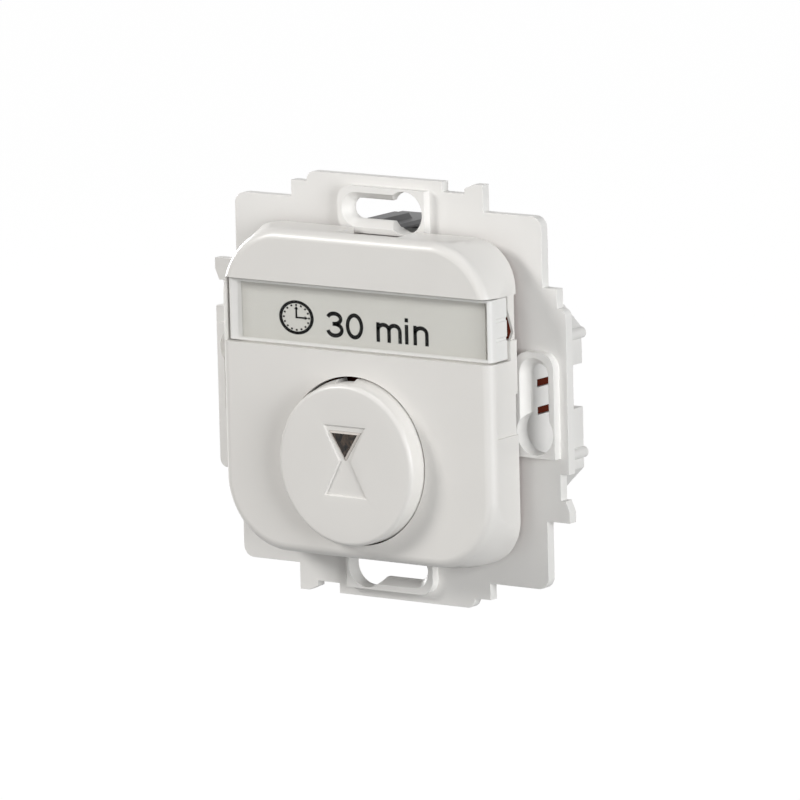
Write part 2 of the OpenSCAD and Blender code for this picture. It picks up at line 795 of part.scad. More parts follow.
module rear_housing() {
    color([0.88, 0.88, 0.86])
        difference() {
            union() {
                difference() {
                    slab(-seat_depth, housing_d)
                        housing_outline(0);
                    slab(-cut, housing_floor)
                        housing_outline(housing_wall);
                }
                for (x = [-1, 1], z = [-1, 1])
                    slab(power_rear, housing_floor + join)
                        translate([x * post_x, z * post_z])
                            circle(post_r);
                top_and_bottom()
                    for (x = wire_xs())
                        slab(housing_floor - wire_collar_l, housing_floor + join)
                            translate([x, wire_z])
                                circle(wire_r + wire_collar_wall);
                left_and_right() {
                    box([housing_half_w - notch_depth - housing_wall, notch_from - housing_wall,
                            notch_low - housing_wall],
                        [housing_half_w, housing_d, notch_high + housing_wall]);
                    for (z = [side_rib_low, side_rib_high])
                        slab(side_rib_from, housing_d)
                            translate([housing_half_w, z])
                                circle(side_rib_r);
                }
            }
            left_and_right() {
                box([housing_half_w - notch_depth, notch_from, notch_low],
                    [housing_half_w + cut, housing_d + cut, notch_high]);
                for (z = [arm_high, arm_low])
                    box([housing_in_w - join, latch_from - latch_gap, z - arm_t / 2 - latch_gap],
                        [housing_half_w + cut, latch_to + latch_gap, z + arm_t / 2 + latch_gap]);
            }
            for (x = [-1, 1], z = [-1, 1])
                slab(power_rear - cut, power_rear + screw_l)
                    translate([x * post_x, z * post_z])
                        circle(screw_r + screw_gap);
            top_and_bottom() {
                for (x = wire_xs())
                    slab(housing_floor - wire_collar_l - cut, housing_d + cut)
                        translate([x, wire_z])
                            circle(wire_r);
                box([lever_x - shank_w / 2 - shank_clear, shank_front - shank_clear,
                        housing_in_h - join],
                    [lever_x + shank_w / 2 + shank_clear, shank_front + shank_d + shank_clear,
                        housing_half_h + cut]);
            }
        }
}

module inner_chassis() {
    color([0.36, 0.16, 0.08])
        difference() {
            union() {
                slab(chassis_front, chassis_rear)
                    rounded(2 * chassis_half_w, 2 * chassis_half_h, chassis_r);
                difference() {
                    slab(chassis_rear - join, plate_front)
                        rounded(2 * chassis_half_w, 2 * chassis_half_h, chassis_r);
                    slab(chassis_rear - cut, plate_front + cut)
                        rounded(2 * (chassis_half_w - chassis_rim), 2 * (chassis_half_h - chassis_rim),
                            chassis_r - chassis_rim);
                }
                for (x = [-1, 1])
                    slab(collar_front, chassis_rear)
                        translate([x * guide_x, button_z])
                            circle(collar_r);
                for (x = [-1, 1], z = [-1, 1])
                    slab(chassis_rear - join, control_front)
                        translate([x * boss_place, z * boss_place])
                            circle(boss_r);
                left_and_right()
                    for (z = [arm_high, arm_low]) {
                        box([arm_out - arm_w, chassis_rear - join, z - arm_t / 2],
                            [arm_out, latch_to, z + arm_t / 2]);
                        box([arm_out - join, latch_from, z - arm_t / 2],
                            [housing_half_w - 2 * latch_gap, latch_to, z + arm_t / 2]);
                    }
            }
            for (x = [-1, 1])
                slab(collar_front - cut, chassis_rear + cut)
                    translate([x * guide_x, button_z])
                        circle(guide_r + guide_clear);
            slab(chassis_front - cut, chassis_rear + cut) {
                translate([0, switch_z])
                    square(switch_size + 2 * chassis_gap, center = true);
                translate([0, lamp_z])
                    circle(lamp_r + 2 * chassis_gap);
            }
            for (x = [-1, 1], z = [-1, 1])
                slab(control_front + board_t - screw_l, control_front + cut)
                    translate([x * boss_place, z * boss_place])
                        circle(screw_r + screw_gap);
            left_and_right()
                box([chassis_half_w - snap_depth - snap_gap, snap_front - snap_gap,
                        snap_z - snap_h / 2 - snap_gap],
                    [chassis_half_w + cut, snap_rear + snap_gap, snap_z + snap_h / 2 + snap_gap]);
            left_and_right()
                box([chassis_half_w - chassis_rim - join, chassis_front - cut,
                        label_low - channel_t - chassis_gap],
                    [chassis_half_w + cut, end_wall_rear + chassis_gap,
                        label_low + label_h + channel_t + chassis_gap]);
        }
}

// A box with round corners, round at the front edge too
module cover_block(w, h) {
    r = cover_edge_r;
    slab(cover_face + r, cover_rear)
        rounded(w, h, cover_r);
    slab(cover_face, cover_rear)
        rounded(w - 2 * r, h - 2 * r, cover_r - r);
    for (side = [-1, 1]) {
        translate([side * (w / 2 - r), cover_face + r, 0])
            cylinder(r = r, h = h - 2 * cover_r, center = true);
        translate([0, cover_face + r, side * (h / 2 - r)])
            rotate([0, 90, 0])
                cylinder(r = r, h = w - 2 * cover_r, center = true);
    }
    for (x = [-1, 1], z = [-1, 1])
        turned(x * (w / 2 - cover_r), cover_face + r, z * (h / 2 - cover_r))
            intersection() {
                translate([cover_r - r, 0])
                    circle(r);
                translate([0, -r])
                    square([cover_r, 2 * r]);
            }
}

// What is taken off a corner of the cover, so that it is softer towards the front
module corner_trim() {
    r = cover_edge_r;
    difference() {
        box([soft_x, cover_face - cut, soft_z],
            [cover_half_w + cut, cover_rear + cut, cover_half_h + cut]);
        turned(soft_x + cover_soft_lap, cover_rear, soft_z + cover_soft_lap) {
            polygon([[0, -2 * cut], [soft_rear_r, -2 * cut], [soft_rear_r, 0],
                [cover_soft_r, cover_d - r], [0, cover_d - r]]);
            square([cover_soft_r - r, cover_d + 2 * cut]);
            intersection() {
                translate([cover_soft_r - r, cover_d - r])
                    circle(r);
                square([cover_soft_r, cover_d]);
            }
        }
    }
}

// Room for the window's right leg, a shallow recess behind it and an opening for a blade
module leg_room() {
    low = label_low + pry_lift;
    high = label_low + label_h;
    skin_in = window_half - pry_skin;
    box([bed_half, cover_face - cut, label_low], [cover_half_w + cut, window_rear + window_gap, high]);
    box([window_half, cover_face, low], [cover_half_w + cut, cover_rear + cut, high]);
    box([bed_half - channel_t - cut, window_rear, low], [skin_in, cover_rear + cut, low + pry_h]);
    translate([skin_in - cut, window_rear, low])
        rotate([90, 0, 90])
            linear_extrude(cover_half_w + 2 * cut - skin_in)
                polygon([[0, 0], [pry_w / 2, 0], [pry_w, pry_foot], [window_gap, pry_h], [0, pry_h]]);
}

module cover() {
    color([0.86, 0.85, 0.83])
        difference() {
            union() {
                difference() {
                    cover_block(cover_w, cover_h);
                    slab(cover_in, cover_rear + cut)
                        rounded(2 * cover_in_w, 2 * cover_in_h, cover_soft_r - cover_wall);
                    slab(chassis_front - chassis_gap, cover_rear + cut)
                        rounded(2 * cover_in_w, 2 * cover_in_h, cover_r - cover_wall);
                    left_and_right()
                        top_and_bottom()
                            corner_trim();
                }
                slab(cover_in - join, bed_rear)
                    translate([0, label_z])
                        square([2 * cover_in_w + join, label_h + 2 * channel_t], center = true);
                for (x = [-1, 1], z = [-1, 1])
                    slab(cover_in - join, chassis_front)
                        translate([x * post_spot, z * post_spot])
                            circle(cover_post_r);
                left_and_right()
                    box([bed_half - channel_t, bed_rear - join, label_low - channel_t],
                        [cover_in_w + join, end_wall_rear, label_low + label_h + channel_t]);
                left_and_right()
                    box([chassis_half_w - snap_depth, snap_front, snap_z - snap_h / 2],
                        [cover_in_w + join, snap_rear, snap_z + snap_h / 2]);
            }
            slab(cover_face - cut, cover_in + cut)
                translate([hole_x, hole_z])
                    circle(button_hole_r);
            slab(cover_face - cut, bed_face)
                translate([-left_reach, label_low])
                    square([left_reach + cover_half_w + cut, label_h]);
            leg_room();
            box([-left_reach, cover_face - cut, label_low],
                [-bed_half, window_rear + window_gap, label_low + label_h]);
            top_and_bottom()
                box([relief_shift - relief_l / 2, cover_face + cover_edge_r, cover_half_h - relief_depth],
                    [relief_shift + relief_l / 2, cover_rear + cut, cover_half_h + cut]);
            top_and_bottom()
                box([cover_half_w - side_relief_depth, cover_face + cover_edge_r,
                        -relief_shift - side_relief_l / 2],
                    [cover_half_w + cut, cover_rear + cut, side_relief_l / 2 - relief_shift]);
        }
}

module label_window() {
    low = label_low + window_gap;
    high = label_low + label_h - window_gap;
    color([0.8, 0.82, 0.82, 0.5])
        difference() {
            translate([0, 0, low])
                linear_extrude(high - low)
                    difference() {
                        union() {
                            translate([-window_left, window_face + window_edge_r])
                                square([window_left + window_half, window_d - window_edge_r]);
                            translate([window_edge_r - window_left, window_face])
                                square([window_left + window_half - 2 * window_edge_r, window_t]);
                            for (x = [window_edge_r - window_left, window_half - window_edge_r])
                                translate([x, window_face + window_edge_r])
                                    circle(window_edge_r);
                        }
                        translate([-leg_in, window_in])
                            square([2 * leg_in, window_d]);
                    }
            for (z = [label_z - clip_tab_h / 2, label_z + clip_tab_h / 2])
                box([leg_in - cut, window_in + clip_slit, z - clip_slit / 2],
                    [window_half + cut, window_rear + cut, z + clip_slit / 2]);
        }
}

module label_card() {
    color([0.8, 0.79, 0.77])
        slab(card_face, bed_face)
            translate([0, label_z])
                square([2 * bed_half - 2 * card_margin, label_h - 2 * card_margin], center = true);
}

// The hourglass mark, narrowest at the waist
module hourglass() {
    top = waist_z + hourglass_h;
    bottom = waist_z - hourglass_h;
    polygon([[-hourglass_w, top], [hourglass_w, top], [waist_w, waist_z], [hourglass_w, bottom],
        [-hourglass_w, bottom], [-waist_w, waist_z]]);
}

// The clear triangle, grown by a gap
module lens_outline(grow) {
    top = waist_z + hourglass_h - lens_drop;
    polygon([[-lens_w - 2 * grow, top + grow], [lens_w + 2 * grow, top + grow],
        [0, top - lens_h - 2 * grow]]);
}

module push_button() {
    axis_top = button_in - button_face;
    length = lug_rear - button_face;
    color([0.87, 0.86, 0.84])
        difference() {
            union() {
                turned(0, lug_rear, button_z)
                    difference() {
                        union() {
                            square([button_r, length - button_edge_r]);
                            square([button_r - button_edge_r, length]);
                            translate([button_r - button_edge_r, length - button_edge_r])
                                circle(button_edge_r);
                        }
                        translate([-cut, -cut])
                            square([button_r - button_wall + cut, length - axis_top + cut]);
                        translate([-2 * cover_w, -cut])
                            square([2 * cover_w, length + 2 * cut]);
                    }
                slab(lug_front, lug_rear)
                    translate([0, button_z])
                        intersection() {
                            difference() {
                                circle(lug_r);
                                circle(button_r - join);
                            }
                            square([3 * lug_r, lug_h], center = true);
                        }
                for (x = [-1, 1])
                    slab(button_in - join, button_in + guide_l)
                        translate([x * guide_x, button_z])
                            circle(guide_r);
                slab(button_in - join, button_in + stem_l)
                    translate([0, switch_z])
                        circle(plunger_r);
            }
            slab(button_face - cut, button_face + hourglass_depth)
                hourglass();
            slab(button_face - cut, button_in + cut)
                lens_outline(mark_clear);
            box([skirt_slot_x - skirt_slot_w / 2, cover_face + lug_gap, button_z],
                [skirt_slot_x + skirt_slot_w / 2, lug_rear + cut, button_z + lug_r + cut]);
        }
}

module button_lens() {
    color([0.75, 0.72, 0.68, 0.6])
        slab(button_face + lens_sink, button_face + lens_sink + lens_l)
            lens_outline(0);
}

// A coil along Y as one tube: rings of points round a helix, joined by triangles
module coil_spring(x, front, rear) {
    sides = 6;
    per_turn = 8;
    rings = floor(spring_turns * per_turn);
    wire = spring_wire / 2;
    rise = (rear - front - spring_wire) / rings;
    points = [for (i = [0:rings], k = [0:sides - 1])
        let (a = 360 * i / per_turn, b = 360 * k / sides, r = spring_r + wire * cos(b))
        [x + r * cos(a), front + wire + rise * i + wire * sin(b), button_z + r * sin(a)]];
    walls = [for (i = [0:rings - 1], k = [0:sides - 1])
        let (a = i * sides + k, b = i * sides + (k + 1) % sides)
        each [[a, b, a + sides], [b, b + sides, a + sides]]];
    first = [for (k = [1:sides - 2]) [0, k + 1, k]];
    last = [for (k = [1:sides - 2]) [rings * sides, rings * sides + k, rings * sides + k + 1]];
    polyhedron(points, concat(walls, first, last));
}

module return_spring(x) {
    color([0.6, 0.6, 0.62])
        coil_spring(x, button_in + spring_end_gap, collar_front - spring_end_gap);
}

module button_spring_left() {
    return_spring(-guide_x);
}

module button_spring_right() {
    return_spring(guide_x);
}

module control_board() {
    color([0.2, 0.36, 0.2])
        difference() {
            slab(control_front, control_rear)
                square(control_size, center = true);
            slab(control_front - cut, control_rear + cut) {
                for (x = [-1, 1])
                    translate([x * guide_x, button_z])
                        circle(guide_r + guide_board_gap);
                for (x = [-1, 1], z = [-1, 1])
                    translate([x * boss_place, z * boss_place])
                        circle(screw_r + screw_board_gap);
            }
        }
}

module push_switch() {
    half = switch_size / 2;
    color([0.15, 0.15, 0.16])
        difference() {
            box([-half, switch_front, switch_z - half], [half, control_front, switch_z + half]);
            slab(switch_front - cut, control_front - switch_floor)
                translate([0, switch_z])
                    circle(plunger_r + plunger_clear);
        }
}

module switch_plunger() {
    color([0.8, 0.8, 0.78])
        slab(plunger_top, control_front - switch_floor - plunger_room - button_travel)
            translate([0, switch_z])
                circle(plunger_r);
}

module indicator_lamp() {
    color([0.85, 0.55, 0.2, 0.8])
        turned(0, control_front, lamp_z)
            intersection() {
                union() {
                    square([lamp_r, lamp_h - lamp_r]);
                    translate([0, lamp_h - lamp_r])
                        circle(lamp_r);
                    square([lamp_r + lamp_rim_w, lamp_rim_h]);
                }
                square([2 * lamp_r, lamp_h]);
            }
}

module timer_chip() {
    color([0.12, 0.12, 0.13])
        slab(control_rear, chip_rear)
            translate(chip_place)
                square([chip_l, chip_w], center = true);
}

// A screw along Y with its head at the first depth and its shank towards the second
module board_screw(x, z, seat, towards) {
    tip = seat + towards * (screw_l - screw_tip_gap);
    head = seat - towards * screw_head_h;
    slot_floor = head + towards * screw_slot_w;
    slab(min(seat, tip), max(seat, tip))
        translate([x, z])
            circle(screw_r);
    difference() {
        slab(min(seat, head), max(seat, head))
            translate([x, z])
                circle(screw_head_r);
        box([x - screw_head_r, min(head - towards * cut, slot_floor), z - screw_slot_w / 2],
            [x + screw_head_r, max(head - towards * cut, slot_floor), z + screw_slot_w / 2]);
    }
}

module board_screws() {
    color([0.7, 0.7, 0.72])
        for (x = [-1, 1], z = [-1, 1]) {
            board_screw(x * boss_place, z * boss_place, control_rear, -1);
            board_screw(x * post_x, z * post_z, power_front, 1);
        }
}

// Heights of the header's pins
function header_zs() = [for (i = [0:header_pins_n - 1]) (i - (header_pins_n - 1) / 2) * header_pitch];

module header_strip() {
    half_z = header_pins_n * header_pitch / 2;
    color([0.1, 0.1, 0.1])
        difference() {
            box([-header_x - header_pitch / 2, power_front - header_strip_h, -half_z],
                [header_pitch / 2 - header_x, power_front, half_z]);
            for (z = header_zs())
                slab(power_front - header_strip_h - cut, power_front + cut)
                    translate([-header_x, z])
                        square(header_pin + 2 * header_pin_gap, center = true);
        }
}

module header_pins() {
    color([0.8, 0.68, 0.3])
        for (z = header_zs())
            slab(control_rear, power_front)
                translate([-header_x, z])
                    square(header_pin, center = true);
}

module power_board() {
    color([0.42, 0.24, 0.1])
        difference() {
            slab(power_front, power_rear)
                cut_square(power_w, power_h, power_cut);
            slab(power_front - cut, power_rear + cut)
                for (x = [-1, 1], z = [-1, 1])
                    translate([x * post_x, z * post_z])
                        circle(screw_r + screw_board_gap);
        }
}

module relay_base() {
    w = relay_l / 2 - relay_wall - relay_fit;
    h = relay_w / 2 - relay_wall - relay_fit;
    color([0.2, 0.2, 0.22])
        box([-w, power_front - relay_base_t, relay_z - h], [w, power_front, relay_z + h]);
}

// A bar along X at the coil's axis
module coil_bar(from, to, r) {
    translate([from, coil_y, relay_z])
        rotate([0, 90, 0])
            cylinder(r = r, h = to - from);
}

module relay_coil() {
    a = coil_mid - coil_l / 2;
    b = coil_mid + coil_l / 2;
    half = coil_end / 2;
    color([0.7, 0.35, 0.15]) {
        coil_bar(a - join, b + join, coil_r);
        coil_bar(b, core_end, core_r);
        for (x = [a - coil_end_t, b])
            box([x, coil_y - half, relay_z - half], [x + coil_end_t, coil_y + half, relay_z + half]);
    }
}

module relay_yoke() {
    left = coil_mid - coil_l / 2 - coil_end_t;
    top = coil_y - coil_end / 2;
    half = yoke_w / 2;
    right = armature_x - yoke_gap;
    color([0.6, 0.6, 0.62])
        difference() {
            union() {
                box([left - iron_t, top - iron_t, relay_z - half],
                    [left, coil_y + coil_end / 2, relay_z + half]);
                box([left - iron_t, top - iron_t, relay_z - half], [right, top, relay_z + half]);
                for (z = [relay_z - half, relay_z + half - ear_t])
                    box([right - join, pivot_y - ear_r, z], [pivot_x + ear_r, pivot_y + ear_r, z + ear_t]);
            }
            translate([pivot_x, pivot_y, relay_z])
                cylinder(r = pivot_r + pivot_clear, h = yoke_w + cut, center = true);
        }
}

module relay_armature() {
    half = yoke_w / 2 - ear_t - yoke_gap;
    color([0.62, 0.62, 0.64]) {
        translate([pivot_x, pivot_y, relay_z])
            cylinder(r = pivot_r, h = yoke_w, center = true);
        box([armature_x, pivot_y, relay_z - half],
            [armature_x + iron_t, coil_y + coil_end / 2 - armature_lift, relay_z + half]);
    }
}

module relay_case() {
    w = relay_l / 2;
    h = relay_w / 2;
    color([0.1, 0.25, 0.5])
        difference() {
            box([-w, power_front - relay_h, relay_z - h], [w, power_front, relay_z + h]);
            box([relay_wall - w, power_front - relay_h + relay_wall, relay_z - h + relay_wall],
                [w - relay_wall, power_front + cut, relay_z + h - relay_wall]);
        }
}

module film_capacitor() {
    color([0.75, 0.2, 0.12])
        slab(power_front - film_h, power_front)
            translate(film_place)
                square([film_l, film_w], center = true);
}

module smoothing_capacitor() {
    color([0.12, 0.14, 0.3])
        turned(smooth_place[0], power_front, smooth_place[1])
            difference() {
                square([smooth_r, smooth_h]);
                translate([smooth_r, 4 * smooth_groove_r])
                    circle(smooth_groove_r);
            }
}

module varistor() {
    color([0.15, 0.3, 0.6])
        translate([varistor_place[0], power_front - varistor_r, varistor_place[1]])
            rotate([0, 90, 0])
                cylinder(r = varistor_r, h = varistor_t, center = true);
}

// A round part lying on the power board along Z, its ends ringed by caps where a cap length is given
module lying_part(x, z, r, l, cap) {
    translate([x, power_front - r, z])
        cylinder(r = cap > 0 ? r - cap_rise : r, h = l, center = true);
    if (cap > 0)
        for (end = [-1, 1])
            translate([x, power_front - r, z + end * (l - cap) / 2])
                cylinder(r = r, h = cap, center = true);
}

module fuse_link() {
    color([0.8, 0.8, 0.75])
        lying_part(fuse_place[0], fuse_place[1], fuse_r, fuse_l, fuse_cap);
}

module resistors() {
    color([0.75, 0.65, 0.45])
        for (x = resistor_xs, z = resistor_zs)
            lying_part(x, z, resistor_r, resistor_l, resistor_cap);
}

module diodes() {
    color([0.1, 0.1, 0.1])
        for (x = diode_xs, z = diode_zs)
            lying_part(x, z, diode_r, diode_l, 0);
}

// A terminal cage: a brass channel with its strip above the wire and its back on the power board
module terminal_cage(x) {
    top = strip_under + cage_t;
    bottom = cage_low - cage_t;
    translate([x - cage_w / 2, 0, 0])
        rotate([90, 0, 90])
            linear_extrude(cage_w)
                polygon([[power_rear, bottom], [cage_rear, bottom], [cage_rear, cage_low],
                    [power_rear + cage_t, cage_low], [power_rear + cage_t, strip_under],
                    [cage_rear, strip_under], [cage_rear, top], [power_rear, top]]);
}

module terminal_cages() {
    color([0.8, 0.65, 0.3])
        top_and_bottom()
            for (x = wire_xs())
                terminal_cage(x);
}

// A leaf spring: it lies on the cage's lower strip, bends at the mouth and rises to clamp the wire
module leaf_spring(x) {
    back = power_rear + cage_t + leaf_t / 2;
    mouth = cage_rear - leaf_t / 2;
    low = cage_low;
    tip = strip_under - leaf_t;
    side = leaf_t * 1.25;
    translate([x - leaf_w / 2, 0, 0])
        rotate([90, 0, 90])
            linear_extrude(leaf_w)
                polygon([[back, low], [mouth, low], [mouth, low + 2 * leaf_t], [back + side, tip],
                    [back, tip], [mouth - side, low + leaf_t], [back, low + leaf_t]]);
}

module terminal_springs_top() {
    color([0.65, 0.66, 0.68])
        for (x = wire_xs())
            leaf_spring(x);
}

module terminal_springs_bottom() {
    rotate([0, 180, 0])
        terminal_springs_top();
}

// The stepped head's outline, right half and left half
module lever_outline() {
    half = lever_w / 2;
    top = lever_top_w / 2;
    low = head_low + lever_edge;
    for (side = [0, 1])
        translate([lever_x, 0])
            mirror([side, 0])
                polygon([[0, head_low], [half, head_low], [half, low],
                    [half - lever_slope, low + lever_step], [top + lever_slope, low + lever_step],
                    [top, head_top], [0, head_top]]);
}

// A release lever: a stepped head above the housing, and a shank that reaches the leaf springs
module release_lever() {
    color([0.35, 0.36, 0.37]) {
        slab(lever_from, lever_head_to)
            lever_outline();
        box([lever_x - lever_w / 2 + lever_slope, lever_head_to - join, head_low],
            [lever_x + lever_w / 2 - lever_slope, lever_to, head_low + lever_t]);
        box([lever_x - shank_w / 2, shank_front, shank_low],
            [lever_x + shank_w / 2, shank_front + shank_d, head_low + join]);
    }
}

module release_lever_top() {
    release_lever();
}

module release_lever_bottom() {
    rotate([0, 180, 0])
        release_lever();
}

mounting_plate();
rear_housing();
inner_chassis();
cover();
label_window();
label_card();
push_button();
button_lens();
button_spring_left();
button_spring_right();
control_board();
push_switch();
switch_plunger();
indicator_lamp();
timer_chip();
board_screws();
header_strip();
header_pins();
power_board();
relay_base();
relay_coil();
relay_yoke();
relay_armature();
relay_case();
film_capacitor();
smoothing_capacitor();
varistor();
fuse_link();
resistors();
diodes();
terminal_cages();
terminal_springs_top();
terminal_springs_bottom();
release_lever_top();
release_lever_bottom();
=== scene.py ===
"""Looks of a flush-mounted timer light switch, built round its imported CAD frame.

Lengths are in metres, written as millimetres times MM. X points right, Y into the wall, Z up.
"""
import json
import math

import bmesh
import bpy
import numpy as np
from bpy.props import FloatProperty, FloatVectorProperty, IntProperty, PointerProperty
from mathutils import Matrix, Vector


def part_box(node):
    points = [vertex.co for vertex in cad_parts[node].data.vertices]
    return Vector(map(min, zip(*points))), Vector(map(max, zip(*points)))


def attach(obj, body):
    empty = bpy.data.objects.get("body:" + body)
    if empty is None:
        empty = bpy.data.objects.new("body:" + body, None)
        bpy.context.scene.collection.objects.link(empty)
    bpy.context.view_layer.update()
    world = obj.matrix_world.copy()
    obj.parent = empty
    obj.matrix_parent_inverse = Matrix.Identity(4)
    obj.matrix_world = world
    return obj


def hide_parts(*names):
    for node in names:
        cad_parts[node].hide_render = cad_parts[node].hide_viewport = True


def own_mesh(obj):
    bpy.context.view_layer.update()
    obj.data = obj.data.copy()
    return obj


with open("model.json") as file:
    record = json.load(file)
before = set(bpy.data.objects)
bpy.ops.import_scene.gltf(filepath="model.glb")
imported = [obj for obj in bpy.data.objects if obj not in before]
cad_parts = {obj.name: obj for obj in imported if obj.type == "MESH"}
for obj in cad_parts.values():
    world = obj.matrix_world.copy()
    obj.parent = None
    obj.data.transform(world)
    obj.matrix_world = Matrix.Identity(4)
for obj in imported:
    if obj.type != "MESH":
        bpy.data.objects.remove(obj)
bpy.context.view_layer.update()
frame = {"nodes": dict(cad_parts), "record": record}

bl_info = {
    "name": "Timer switch looks",
    "version": (1, 0, 0),
    "blender": (4, 5, 0),
    "location": "View3D > Sidebar > Timer switch",
    "description": "Dresses the CAD frame of a timer light switch with finished surfaces and materials",
    "category": "Object",
}

MM = 0.001
# Points closer than this are one point
MERGE = 1e-6
# Faces that lean less than this from each other are one flat face
FLAT = math.radians(0.3)
# Angle between a slot's edge and the points that mark it
CLOSE = math.radians(0.05)
# Edges sharper than this are rounded
SHARP = math.radians(38)
# Edges of the lens sharper than this stay creased
LENS_SHARP = math.radians(20)
# A face of the lens is one of its slopes if its normal's share along Y lies between these
LENS_SLOPING = (0.2, 0.97)
# Direction in which the button's skirt flares most, counted from the right
FLARE_WAY = math.radians(150)
TURN = 2 * math.pi
# Rows of points across the button's edge, inside, mark rim and face
EDGE_ROWS, INSIDE_ROWS, RIM_ROWS, FACE_ROWS = 10, 9, 4, 6
# Points along and round a spring's wire, and along the card and round each of its edges
COIL_POINTS, WIRE_POINTS, CARD_POINTS, CARD_BEND_POINTS = 260, 14, 40, 7
# Points along each side of the floor
FLOOR_POINTS = 9
# Strength of every relief, whose depth is given as a length
RELIEF_STRENGTH = 0.5
# Ending of the names of the materials that are made here
FINISH = "_finish"

BODY_OF = {node: body for body, nodes in frame["record"]["behaviour"]["bodies"].items() for node in nodes}
SLOT_OF = {part["node"]: part["material_slot"] for part in frame["record"]["subparts"]}
RECORD_COLOUR = {finish["slot"]: finish["base_color"][:3] for finish in frame["record"]["materials"]}


def span(node):
    """Lowest and highest corner of a CAD node, as arrays."""
    low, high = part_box(node)
    return np.array(low), np.array(high)


def length(name, millimetres, description):
    """A setting that is a length, given here in millimetres."""
    return FloatProperty(name=name, description=description, default=millimetres * MM, unit="LENGTH",
                         precision=5)


def angle(name, degrees, description):
    """A setting that is an angle, given here in degrees."""
    return FloatProperty(name=name, description=description, default=math.radians(degrees), subtype="ANGLE")


def amount(name, value, description):
    """A setting that is a plain number."""
    return FloatProperty(name=name, description=description, default=value, precision=4)


def colour(name, rgb, description):
    """A setting that is a colour, as red, green and blue in linear light."""
    return FloatVectorProperty(name=name, description=description, default=rgb, size=3, subtype="COLOR",
                               min=0, max=1)


